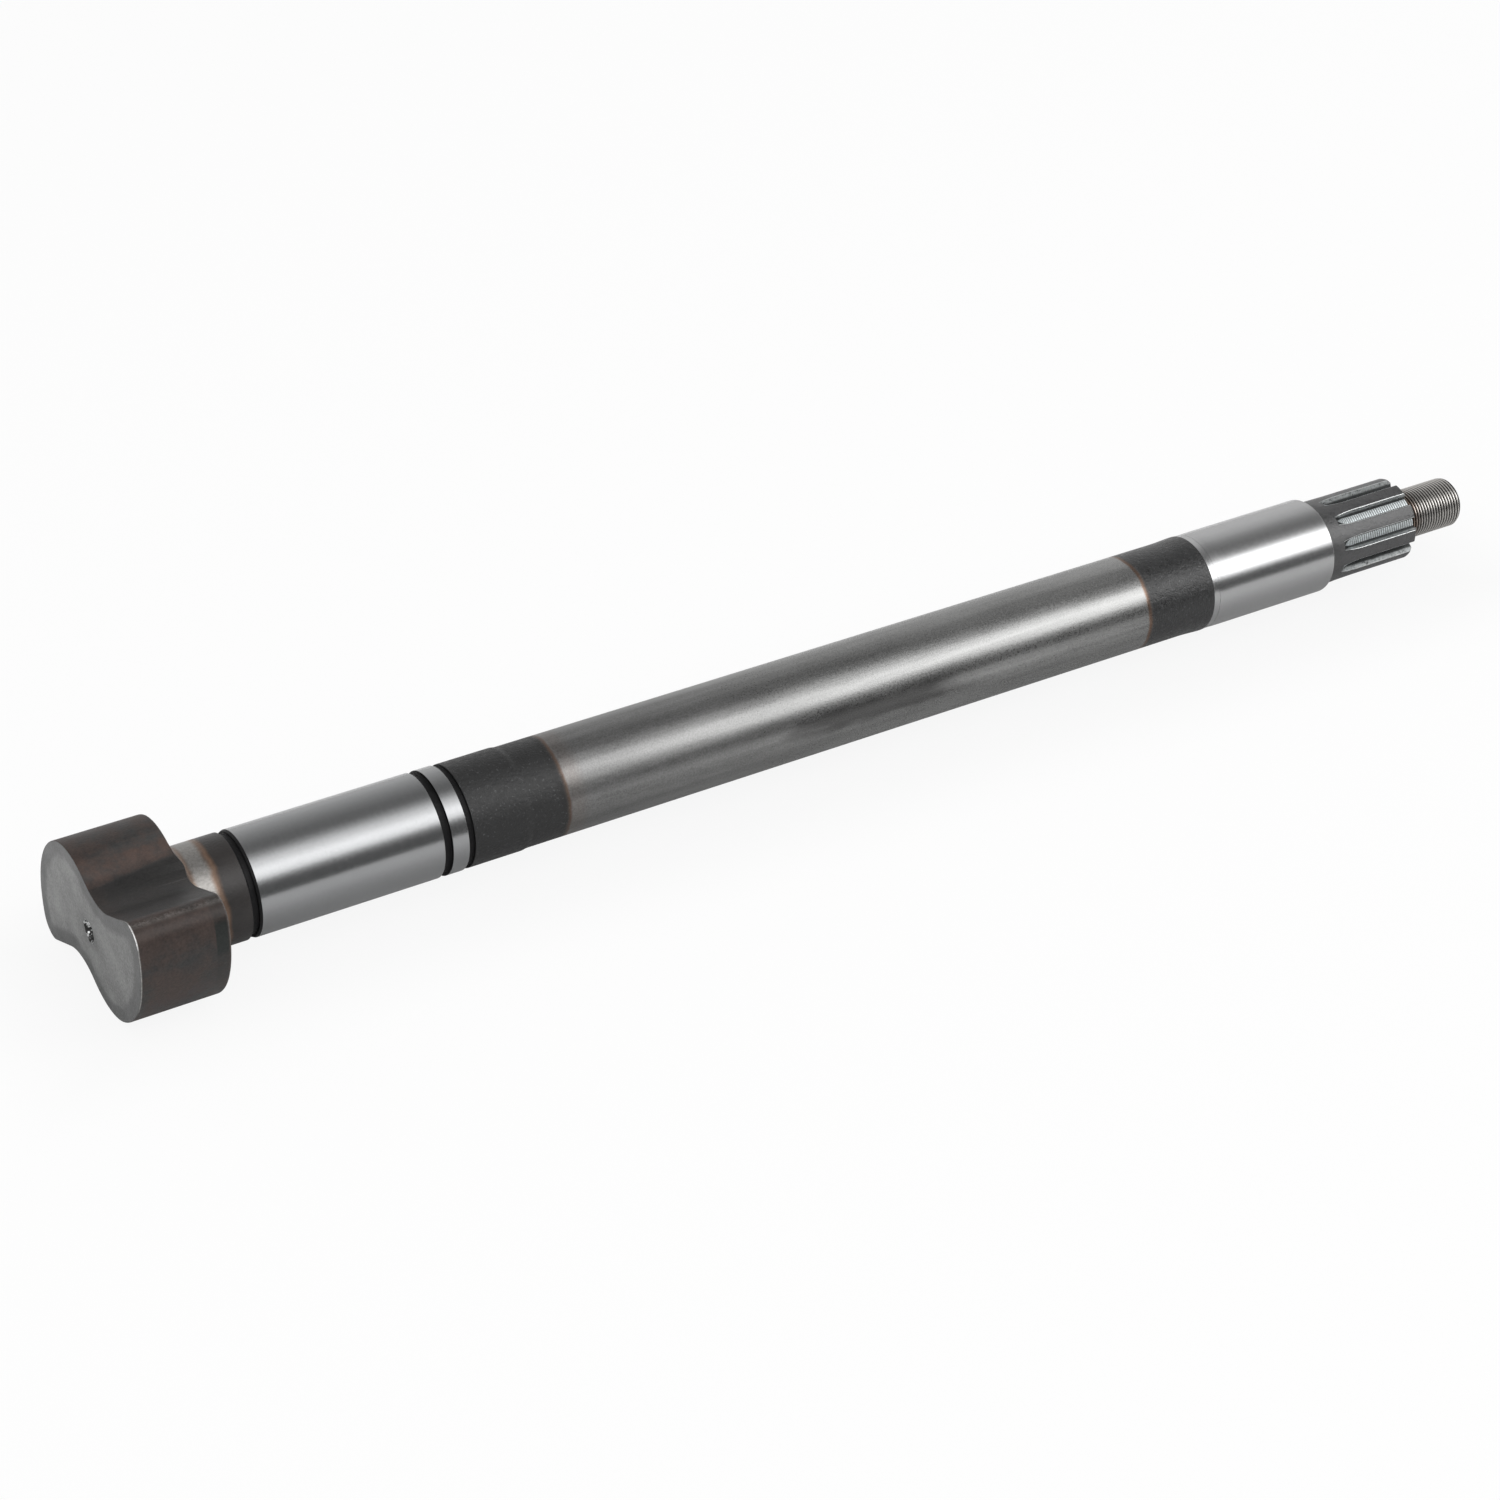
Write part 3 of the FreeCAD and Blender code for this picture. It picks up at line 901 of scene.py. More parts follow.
@dataclass
class Skin:
    """Collects rings of points round the shaft's axis and closes them into one mesh."""

    points: list[np.ndarray] = field(default_factory=list)
    faces: list[tuple[int, ...]] = field(default_factory=list)
    zones: list[int] = field(default_factory=list)
    inset: list[np.ndarray] = field(default_factory=list)
    count: int = 0
    merge: float = 0.0005
    sliver: float = 0.0002
    crisp_angle: float = math.radians(38)

    def ring(
        self,
        along: float | np.ndarray,
        radius: float | np.ndarray,
        angle: np.ndarray,
        inset: float | np.ndarray = 0,
    ) -> np.ndarray:
        """Add one ring of points.

        Args:
            along: Place of each point along the axis, in millimetres.
            radius: Distance of each point from the axis.
            angle: Angle of each point about the axis, rising.
            inset: Distance of each point from the cam's outline.

        Returns:
            The points' numbers.
        """
        along, radius, inset = (np.broadcast_to(v, angle.shape) for v in (along, radius, inset))
        spots = np.stack([along, radius * np.cos(angle), radius * np.sin(angle)], axis=1)
        self.points.append(spots * MM)
        self.inset.append(inset)
        numbers = np.arange(self.count, self.count + len(angle))
        self.count += len(angle)
        return numbers

    def quads(self, corners: tuple[np.ndarray, ...], zones: Zone | list[Zone]) -> None:
        """Add a run of four-sided faces.

        Args:
            corners: Numbers of the faces' first, second, third and fourth points.
            zones: Finish of the whole run, or of each face.
        """
        rows = np.stack(corners, axis=-1).reshape(-1, len(corners)).tolist()
        kinds = zones if isinstance(zones, list) else [zones] * len(rows)
        self.faces += [tuple(row) for row in rows]
        self.zones += [kind.value for kind in kinds]

    def wall(self, first: np.ndarray, second: np.ndarray, zones: Zone | list[Zone]) -> None:
        """Close the strip between two rings of equal count.

        Args:
            first: The ring nearer to the start of the path.
            second: The next ring.
            zones: Finish of the strip, or of each of its columns.
        """
        self.quads((first, np.roll(first, -1), np.roll(second, -1), second), zones)

    def stitch(
        self,
        first: np.ndarray,
        first_angle: np.ndarray,
        second: np.ndarray,
        second_angle: np.ndarray,
        zone: Zone,
    ) -> None:
        """Close the strip between two rings with different counts.

        Args:
            first: The ring nearer to the start of the path.
            first_angle: Its points' angles, rising from its first point.
            second: The next ring.
            second_angle: Its points' angles.
            zone: Finish of the strip.
        """
        begin = first_angle[0]
        turned = np.mod(second_angle - begin, FULL_TURN)
        order = np.argsort(turned)
        turned = turned[order]
        near, far = first.tolist(), second[order].tolist()
        ahead = np.append(first_angle - begin, FULL_TURN)
        after = np.append(turned, turned[0] + FULL_TURN)
        one, two = 0, 0
        while one < len(near) or two < len(far):
            here, there = near[one % len(near)], far[two % len(far)]
            if two >= len(far) or (one < len(near) and ahead[one + 1] <= after[two + 1]):
                one += 1
                self.faces.append((here, near[one % len(near)], there))
            else:
                two += 1
                self.faces.append((here, far[two % len(far)], there))
            self.zones.append(zone.value)

    def cap(self, ring: np.ndarray, zone: Zone) -> None:
        """Close a ring with one flat face that looks along the ring's own turn.

        Args:
            ring: The ring to close.
            zone: Finish of the face.
        """
        self.faces.append(tuple(ring.tolist()))
        self.zones.append(zone.value)

    def mesh(self, name: str, finishes: dict[Zone, bpy.types.Material]) -> bpy.types.Object:
        """Make the object.

        Args:
            name: The object's name.
            finishes: Material of each zone.

        Returns:
            The object, linked to the scene.
        """
        data = bpy.data.meshes.new(name)
        data.from_pydata(np.concatenate(self.points).tolist(), [], self.faces)
        for zone in Zone:
            data.materials.append(finishes[zone])
        data.polygons.foreach_set("material_index", np.array(self.zones, dtype=np.int32))
        inset = data.attributes.new("inset", "FLOAT", "POINT")
        inset.data.foreach_set("value", np.concatenate(self.inset).astype(np.float32))
        self._tidy(data)
        return link(name, data)

    def _tidy(self, data: bpy.types.Mesh) -> None:
        """Merge points that fell together, shade smooth and keep crisp edges.

        Args:
            data: The mesh.
        """
        work = bmesh.new()
        work.from_mesh(data)
        bmesh.ops.remove_doubles(work, verts=work.verts, dist=self.merge * MM)
        bmesh.ops.dissolve_degenerate(work, edges=work.edges, dist=self.sliver * MM)
        work.to_mesh(data)
        work.free()
        data.shade_smooth()
        data.set_sharp_from_angle(angle=self.crisp_angle)
        data.update()


def link(name: str, data: bpy.types.ID) -> bpy.types.Object:
    """Put an object into the scene.

    Args:
        name: The object's name.
        data: Its mesh or camera.

    Returns:
        The object.
    """
    thing = bpy.data.objects.new(name, data)
    bpy.context.scene.collection.objects.link(thing)
    return thing


def rounded(
    path: list[np.ndarray], zones: list[Zone], breaks: list[float]
) -> tuple[list[np.ndarray], list[Zone]]:
    """Round the corners of a path of rings.

    Args:
        path: Places along the axis and radii of each corner, one row for each column.
        zones: Zone of the strip after each corner.
        breaks: Rounding of each corner in millimetres.

    Returns:
        The path with its corners rounded, and the zone after each of its points.
    """
    reach, lead, tiny = 0.45, 1.3, 1e-9
    out, kinds = [path[0]], [zones[0]]
    for index in range(1, len(path) - 1):
        corner = path[index]
        if breaks[index] <= 0:
            out.append(corner)
            kinds.append(zones[index])
            continue
        before, after = path[index - 1] - corner, path[index + 1] - corner
        size_before = np.linalg.norm(before, axis=1, keepdims=True)
        size_after = np.linalg.norm(after, axis=1, keepdims=True)
        size = np.minimum(breaks[index], reach * np.minimum(size_before, size_after))
        before = before * (size / np.maximum(size_before, tiny))
        after = after * (size / np.maximum(size_after, tiny))
        start, end = corner + before, corner + after
        out.append(corner + lead * before)
        for share in (0.0, 0.25, 0.5, 0.75, 1.0):
            keep = 1 - share
            out.append(keep * keep * start + 2 * keep * share * corner + share * share * end)
        out.append(corner + lead * after)
        kinds += [zones[index - 1]] * 3 + [zones[index]] * 4
    return out + [path[-1]], kinds + [zones[-1]]


@dataclass
class CamOutline:
    """S-shaped outline of the cam head: two equal lobes of tangent arcs and a straight run."""

    heel_radius: float = 28.9
    heel_centre_across: float = 14.0
    heel_centre_down: float = 1.2
    heel_end_angle: float = 64.0
    toe_radius: float = 46.4
    toe_end_angle: float = -5.0
    tip_radius: float = 7.5
    tip_end_angle: float = -111.4
    pocket_radius: float = 24.5
    step: float = 0.7
    step_angle: float = 0.09
    fewest_steps: tuple[int, int] = (8, 4)

    @staticmethod
    def _towards(degrees: float) -> np.ndarray:
        """Unit vector at an angle."""
        turn = math.radians(degrees)
        return np.array([math.cos(turn), math.sin(turn)])

    def _arc(self, centre: np.ndarray, first: np.ndarray, last: np.ndarray) -> np.ndarray:
        """Points along the shorter arc.

        Args:
            centre: The arc's centre.
            first: Its first point.
            last: Its last point.

        Returns:
            The points, without the last one.
        """
        low = math.atan2(*(first - centre)[::-1])
        turn = math.atan2(*(last - centre)[::-1]) - low
        turn = (turn + math.pi) % FULL_TURN - math.pi
        radius = float(np.linalg.norm(first - centre))
        step = min(self.step, radius * self.step_angle)
        number = max(self.fewest_steps[0], round(abs(turn) * radius / step))
        angles = low + turn * np.arange(number) / number
        return centre + radius * np.stack([np.cos(angles), np.sin(angles)], axis=1)

    def _half(self) -> np.ndarray:
        """Points of one lobe.

        Returns:
            The points, from one pocket over the lobe to the other pocket.
        """
        towards, arc = self._towards, self._arc
        heel_centre = np.array([self.heel_centre_across, -self.heel_centre_down])
        outward = towards(self.tip_end_angle)
        shift = self.heel_radius - self.toe_radius
        toe_centre = heel_centre + towards(self.heel_end_angle) * shift
        tip_centre = toe_centre + towards(self.toe_end_angle) * (self.toe_radius - self.tip_radius)
        line_start = tip_centre + outward * self.tip_radius
        along = np.array([outward[1], -outward[0]])
        base = line_start + outward * self.pocket_radius + heel_centre
        reach, span = float(base @ along), self.pocket_radius + self.heel_radius
        travel = -reach - math.sqrt(reach**2 - float(base @ base) + span**2)
        pocket_centre = line_start + outward * self.pocket_radius + along * travel
        line_end = pocket_centre - outward * self.pocket_radius
        pocket_end = pocket_centre - (heel_centre + pocket_centre) / span * self.pocket_radius
        heel_end = heel_centre + towards(self.heel_end_angle) * self.heel_radius
        toe_end = toe_centre + towards(self.toe_end_angle) * self.toe_radius
        length = float(np.linalg.norm(line_end - line_start))
        number = max(self.fewest_steps[1], round(length / self.step))
        share = (np.arange(number) / number)[:, None]
        return np.concatenate(
            [
                arc(heel_centre, -pocket_end, heel_end),
                arc(toe_centre, heel_end, toe_end),
                arc(tip_centre, toe_end, line_start),
                line_start + (line_end - line_start) * share,
                arc(pocket_centre, line_end, pocket_end),
            ]
        )

    def polar(self) -> tuple[np.ndarray, np.ndarray]:
        """The outline as angles and radii about the axis.

        Returns:
            Rising angles and the radius at each.
        """
        half = self._half()
        points = np.concatenate([half, -half])
        angle = np.mod(np.arctan2(points[:, 1], points[:, 0]), FULL_TURN)
        order = np.argsort(angle)
        return angle[order], np.linalg.norm(points, axis=1)[order]


@dataclass
class CamHead:
    """Forged head with its flat face, flanks, squared back and the fillet onto the neck."""

    face: float = -96.7
    back: float = -62.1
    neck_radius: float = 20.95
    fillet: float = 3.0
    face_break: float = 0.45
    back_break: float = 0.6
    centre_mouth: float = 5.0
    centre_pilot: float = 2.0
    pilot_depth: float = 5.0
    deep_inset: float = 99.0
    rags: tuple[Triple, ...] = ((0.06, 3, 0.6), (0.05, 8, 0.0))
    rag_shift: float = 0.04
    rim_row: float = 1.8
    face_shares: tuple[float, ...] = (0.0, 0.04, 0.2, 0.35, 0.5, 0.65, 0.8, 0.9)
    fillet_shares: tuple[float, ...] = (0.12, 0.25, 0.4, 0.55, 0.7, 0.85, 1.0)
    outline: CamOutline = field(default_factory=CamOutline)

    def build(self, skin: Skin) -> tuple[np.ndarray, np.ndarray]:
        """Add the head to the skin.

        Args:
            skin: The skin to add to.

        Returns:
            The last ring, on the neck, and its angles.
        """
        angle, edge = self.outline.polar()
        pilot = self.centre_pilot
        foot = self.face + (self.centre_mouth - pilot) / CENTRE_SLOPE
        floor = foot + self.pilot_depth
        inner = [(floor, 0.9 * pilot), (floor, pilot), (foot, pilot)]
        rings = [skin.ring(along, radius, angle, self.deep_inset) for along, radius in inner]
        kinds = [Zone.CENTRE] * len(inner)
        skin.cap(rings[0][::-1], Zone.CENTRE)

        ragged = sum(size * np.sin(waves * angle + turn) for size, waves, turn in self.rags)
        mouth = self.centre_mouth * (1 + ragged - self.rag_shift)
        path = [self._spot(self.face, mouth + (edge - mouth) * share) for share in self.face_shares]
        kinds += [Zone.FACE] * len(path)
        flank, zones = self._flank_path(edge)
        for spot in path + flank:
            inset = self._inset(spot[:, 1], angle, edge)
            rings.append(skin.ring(spot[:, 0], spot[:, 1], angle, inset))
        for first, second, kind in zip(rings, rings[1:], kinds + zones):
            skin.wall(first, second, kind)
        return rings[-1], angle

    @staticmethod
    def _spot(along: np.ndarray | float, radius: np.ndarray) -> np.ndarray:
        """One ring of a path: place along the axis and radius of each column."""
        return np.stack([np.broadcast_to(along, radius.shape), radius], axis=1)

    def _flare(self, radius: np.ndarray) -> np.ndarray:
        """Place along the axis where the fillet has a radius."""
        drop = np.clip(self.neck_radius + self.fillet - radius, 0, self.fillet)
        return self.back + self.fillet - np.sqrt(self.fillet**2 - drop**2)

    def _flank_path(self, edge: np.ndarray) -> tuple[list[np.ndarray], list[Zone]]:
        """Path over the face's edge, the flank, the back's edge and the fillet.

        Args:
            edge: The outline's radius in each column.

        Returns:
            The path's rings and the zone after each.
        """
        flare_top = np.minimum(edge, self.neck_radius + self.fillet)
        end = self._flare(flare_top)
        corners = [
            self._spot(self.face, edge - self.rim_row),
            self._spot(self.face, edge),
            self._spot((self.face + self.back) / 2, edge),
            self._spot(end, edge),
            self._spot(end, flare_top),
        ]
        kinds = [Zone.FACE, Zone.FLANK, Zone.FLANK, Zone.HEAD_BACK, Zone.HEAD_BACK]
        path, zones = rounded(corners, kinds, [0, self.face_break, 0, self.back_break, 0])
        for share in self.fillet_shares:
            radius = self.neck_radius + (flare_top - self.neck_radius) * (1 - share) ** 2
            path.append(self._spot(self._flare(radius), radius))
            zones.append(Zone.NECK)
        return path, zones

    @staticmethod
    def _inset(radius: np.ndarray, angle: np.ndarray, edge: np.ndarray) -> np.ndarray:
        """Distance of face points from the outline.

        Args:
            radius: Radii of the points.
            angle: Their angles.
            edge: The outline's radius in each column.

        Returns:
            The distances in millimetres.
        """
        way = np.stack([np.cos(angle), np.sin(angle)], axis=1)
        here, rim = radius[:, None] * way, edge[:, None] * way
        return np.linalg.norm(here[:, None, :] - rim[None, :, :], axis=2).min(axis=1)


@dataclass
class TurnedShaft:
    """All turned stretches from the neck to the wall beside the spline."""

    seam_start: float = -42.1
    seam_end: float = -41.7
    neck_end: float = -41.2
    groove_start: float = -40.7
    lead_start: float = -38.4
    journal_start: float = -37.4
    journal_end: float = 37.4
    collar_start: float = 40.8
    collar_end: float = 47.6
    shoulder_start: float = 50.2
    shoulder_end: float = 73.2
    shank_start: float = 75.2
    shank_end: float = 391.5
    swell_top: float = 400.1
    swell_end: float = 401.3
    relief_start: float = 403.6
    relief_end: float = 405.2
    end_journal_start: float = 409.6
    end_journal_end: float = 467.0
    neck_radius: float = 20.95
    lead_radius: float = 20.5
    journal_radius: float = 21.0
    seal_floor_radius: float = 19.4
    ring_floor_radius: float = 19.7
    shoulder_radius: float = 20.83
    shank_radius: float = 20.45
    swell_radius: float = 20.875
    relief_radius: float = 20.66
    end_journal_radius: float = 20.78
    end_chamfer: float = 0.8
    end_wall_radius: float = 19.2
    columns: int = 288

    def build(
        self, skin: Skin, first: np.ndarray, angle: np.ndarray
    ) -> tuple[np.ndarray, np.ndarray]:
        """Add the turned stretches to the skin.

        Args:
            skin: The skin to add to.
            first: The ring on the neck to go on from.
            angle: The ring's angles.

        Returns:
            The last ring, at the inner edge of the end journal's wall, and its angles.
        """
        turn = np.arange(self.columns) * FULL_TURN / self.columns
        corners = self._corners()
        path, zones = rounded(
            [np.array([[along, radius]]) for along, radius, _, _ in corners],
            [zone for _, _, zone, _ in corners],
            [size for _, _, _, size in corners],
        )
        spots = [tuple(spot[0]) for spot in path]
        last = skin.ring(*spots[0], angle)
        skin.wall(first, last, Zone.NECK)
        before = skin.ring(*spots[1], turn)
        skin.stitch(last, angle, before, turn, zones[0])
        for spot, zone in zip(spots[2:], zones[1:]):
            ring = skin.ring(*spot, turn)
            skin.wall(before, ring, zone)
            before = ring
        return before, turn

    def _corners(self) -> list[tuple[float, float, Zone, float]]:
        """Corners of the turned profile.

        Returns:
            Place, radius, zone after the corner and rounding of each.
        """
        crisp, plain, soft, gentle, broad, wide = 0.12, 0.3, 0.5, 1.0, 1.8, 2.0
        end, top = self.end_journal_end, self.end_journal_radius
        return [
            (self.seam_start, self.neck_radius, Zone.NECK, 0),
            (self.seam_end, self.neck_radius, Zone.NECK, 0),
            (self.neck_end, self.neck_radius, Zone.GROOVE, plain),
            (self.groove_start, self.seal_floor_radius, Zone.GROOVE, soft),
            (self.lead_start, self.seal_floor_radius, Zone.GROOVE, plain),
            (self.lead_start, self.lead_radius, Zone.GROOVE, crisp),
            (self.journal_start, self.journal_radius, Zone.JOURNAL, crisp),
            (self.journal_end, self.journal_radius, Zone.GROOVE, crisp),
            (self.journal_end, self.seal_floor_radius, Zone.GROOVE, plain),
            (self.collar_start, self.seal_floor_radius, Zone.GROOVE, plain),
            (self.collar_start, self.journal_radius, Zone.JOURNAL, crisp),
            (self.collar_end, self.journal_radius, Zone.GROOVE, crisp),
            (self.collar_end, self.ring_floor_radius, Zone.GROOVE, plain),
            (self.shoulder_start, self.ring_floor_radius, Zone.GROOVE, plain),
            (self.shoulder_start, self.shoulder_radius, Zone.SHANK, plain),
            (self.shoulder_end, self.shoulder_radius, Zone.SHANK, soft),
            (self.shank_start, self.shank_radius, Zone.SHANK, soft),
            (self.shank_end, self.shank_radius, Zone.SHANK, wide),
            (self.swell_top, self.swell_radius, Zone.SHANK, 2 * plain),
            (self.swell_end, self.swell_radius, Zone.END_JOURNAL, plain / 2),
            (self.relief_start, self.relief_radius, Zone.END_JOURNAL, gentle),
            (self.relief_end, self.relief_radius, Zone.END_JOURNAL, gentle),
            (self.end_journal_start, top, Zone.END_JOURNAL, broad),
            (end - self.end_chamfer, top, Zone.END_JOURNAL, crisp),
            (end, top - self.end_chamfer, Zone.SPLINE, crisp),
            (end, self.end_wall_radius, Zone.SPLINE, 0),
        ]


@dataclass
class Spline:
    """Ten parallel-sided teeth, milled with a cutter that ran out of the solid shaft."""

    start: float = 467.0
    end: float = 515.4
    outer_radius: float = 18.47
    root_radius: float = 14.95
    tooth_width: float = 5.76
    teeth: int = 10
    first_gap: float = math.radians(19.5)
    full_depth: float = 485.1
    cutter_radius: float = 18.0
    end_chamfer: float = 1.5
    edge_break: float = 0.18
    lead_rows: tuple[float, ...] = (0.0, 0.1, 1.0, 4.0)
    run_out_margin: float = 0.05
    run_out_rows: int = 20
    floor_rows: tuple[float, ...] = (8.0, 20.0)
    chamfer_rows: tuple[float, ...] = (-0.25, 0.0, 0.25)
    last_row: float = 0.1
    search_margin: float = 2.0
    halvings: int = 40
    least_turn: float = 0.002
    floor_shares: tuple[float, ...] = (0.0, 0.3, 0.6, 0.85, 1.0)
    flank_shares: tuple[float, ...] = (0.06, 0.35, 0.7, 0.96)
    land_shares: tuple[float, ...] = (0.08, 0.55, 1.0)

    def build(
        self, skin: Skin, first: np.ndarray, angle: np.ndarray
    ) -> tuple[np.ndarray, np.ndarray]:
        """Add the spline to the skin.

        Args:
            skin: The skin to add to.
            first: The ring on the wall beside the spline.
            angle: The ring's angles.

        Returns:
            The last ring, on the spline's end face, and its angles.
        """
        chamfer, break_out = self.end - self.end_chamfer, self._break_out()
        first_cut = break_out - self.run_out_margin
        spots = [self.start + reach for reach in self.lead_rows]
        spots += list(np.linspace(first_cut, self.full_depth, self.run_out_rows))
        spots += [self.full_depth + reach for reach in self.floor_rows]
        spots += [chamfer + reach for reach in self.chamfer_rows]
        spots += [self.end - self.last_row, self.end]
        before: np.ndarray | None = None
        for along in spots:
            cap = self.outer_radius - max(0.0, along - chamfer)
            radius, turn, kinds = self._section(along, cap)
            ring = skin.ring(along, radius, turn)
            if before is None:
                skin.stitch(first, angle, ring, turn, Zone.SPLINE)
            else:
                skin.wall(before, ring, kinds if along > break_out else Zone.SPLINE)
            before = ring
        inner = skin.ring(self.end, np.minimum(radius, self.root_radius) - self.end_chamfer, turn)
        skin.wall(before, inner, Zone.SPLINE)
        return inner, turn

    def _break_out(self) -> float:
        """Place along the axis where the cutter left the shaft's surface."""
        lift = self.root_radius + self.cutter_radius - self.outer_radius
        return self.full_depth - math.sqrt(self.cutter_radius**2 - lift**2)

    def _moved(self, height: float, along: float) -> float:
        """Height at which a point of the cutter's form stands at one place.

        Args:
            height: Its height above the axis at full depth.
            along: Place along the axis.

        Returns:
            Its height there.
        """
        arbor = self.root_radius + self.cutter_radius
        back = max(0.0, self.full_depth - along)
        reach = (arbor - height) ** 2 - back**2
        return arbor - math.sqrt(reach) if reach > 0 else arbor

    def _section(self, along: float, cap: float) -> tuple[np.ndarray, np.ndarray, list[Zone]]:
        """Outline of the spline across the axis.

        Args:
            along: Place along the axis.
            cap: Largest radius at that place.

        Returns:
            Radii, rising angles and the zone after each point.
        """
        half_pitch, half_tooth = math.pi / self.teeth, self.tooth_width / 2
        reach = math.sqrt(self.root_radius**2 - half_tooth**2)
        corner = reach * math.sin(half_pitch) - half_tooth * math.cos(half_pitch)
        corner_height = math.sqrt(self.root_radius**2 - corner**2)

        def flank(height: float) -> Span:
            """Find a point of the flank.

            Args:
                height: The point's height above the axis at full depth.

            Returns:
                Its turn from the gap's middle and its radius.
            """
            across = corner + (height - corner_height) * math.tan(half_pitch)
            moved = self._moved(height, along)
            return math.atan2(across, moved), math.hypot(across, moved)

        low, high = corner_height, self.outer_radius + self.search_margin
        for _ in range(self.halvings):
            middle = (low + high) / 2
            low, high = (middle, high) if flank(middle)[1] < cap else (low, middle)
        half: list[tuple[float, float, Zone]] = []
        for share in self.floor_shares:
            across = corner * share
            height = self._moved(math.sqrt(self.root_radius**2 - across**2), along)
            radius = min(math.hypot(across, height), cap)
            half.append((math.atan2(across, height), radius, Zone.GAP))
        for share in self.flank_shares:
            turn, radius = flank(corner_height + (low - corner_height) * share)
            half.append((turn, min(radius, cap), Zone.GAP))
        edge = max(turn + self.least_turn, flank(low)[0]) + self.edge_break / cap
        half.append((edge, cap, Zone.SPLINE))
        for share in self.land_shares:
            edge += (half_pitch - edge) * share
            half.append((edge, cap, Zone.SPLINE))

        left = [
            (-turn, radius, zone)
            for (turn, radius, _), (_, _, zone) in zip(half[-2:0:-1], half[-3::-1])
        ]
        turns, radii, zones = zip(*left, *half)
        centres = self.first_gap + np.arange(self.teeth) * 2 * half_pitch
        angles = (centres[:, None] + np.array(turns)).ravel()
        return np.tile(radii, self.teeth), angles, list(zones) * self.teeth


@dataclass
class Stud:
    """Threaded stud with a lead chamfer and a centre hole."""

    start: float = 515.4
    end: float = 547.5
    crest_radius: float = 11.0
    undercut: float = 0.35
    pitch: float = 1.5
    depth: float = 0.86
    crest_half: float = 0.85
    flank_share: float = 0.66
    fade_in: float = 1.6
    chamfer: float = 1.5
    face_edge: float = 0.3
    centre_mouth: float = 4.0
    centre_pilot: float = 1.6
    pilot_depth: float = 5.0
    columns: int = 112
    steps: int = 10
    nudge: float = 1e-6

    def build(self, skin: Skin, first: np.ndarray, angle: np.ndarray) -> None:
        """Add the stud to the skin and close it.

        Args:
            skin: The skin to add to.
            first: The ring on the spline's end face.
            angle: The ring's angles.
        """
        turn = np.arange(self.columns) * FULL_TURN / self.columns
        root = skin.ring(self.start, self.crest_radius - self.undercut, turn)
        skin.stitch(first, angle, root, turn, Zone.SPLINE)
        turns = (self.end - self.start) / self.pitch + 1
        rows = []
        for index in range(math.ceil(turns * self.steps) + 1):
            nominal = self.start + self.pitch * (index / self.steps - 1 + turn / FULL_TURN)
            along = np.clip(nominal, self.start, self.end)
            rows.append(skin.ring(along, self._radius(along, turn), turn))
        table, steps = np.array(rows), self.steps
        skin.quads((table[:-1, :-1], table[:-1, 1:], table[1:, 1:], table[1:, :-1]), Zone.THREAD)
        last, lead = table[: len(table) - steps, -1], table[steps:, 0]
        skin.quads((last[:-1], lead[:-1], lead[1:], last[1:]), Zone.THREAD)

        before = skin.ring(self.end, self._radius(np.full(self.columns, self.end), turn), turn)
        foot = self.end - (self.centre_mouth - self.centre_pilot) / CENTRE_SLOPE
        for along, radius, zone in (
            (self.end, self.crest_radius - self.chamfer - self.face_edge, Zone.THREAD),
            (self.end, self.centre_mouth, Zone.STUD_END),
            (foot, self.centre_pilot, Zone.CENTRE),
            (foot - self.pilot_depth, self.centre_pilot, Zone.CENTRE),
        ):
            ring = skin.ring(along, radius, turn)
            skin.wall(before, ring, zone)
            before = ring
        skin.cap(before, Zone.CENTRE)

    def _radius(self, along: np.ndarray, turn: np.ndarray) -> np.ndarray:
        """Radius of the thread's surface.

        Args:
            along: Places along the axis.
            turn: Angles about the axis.

        Returns:
            The radii.
        """
        phase = np.mod((along - self.start) / self.pitch - turn / FULL_TURN + self.nudge, 1.0)
        height = (self.crest_half - np.abs(2 * phase - 1)) / self.flank_share
        share = np.clip((along - self.start) / self.fade_in, 0, 1)
        share = share * share * (3 - 2 * share)
        cut = self.undercut * (1 - share) + self.depth * share * (1 - np.clip(height, 0, 1))
        lead = self.crest_radius - (along - (self.end - self.chamfer))
        return np.minimum(self.crest_radius - cut, lead)


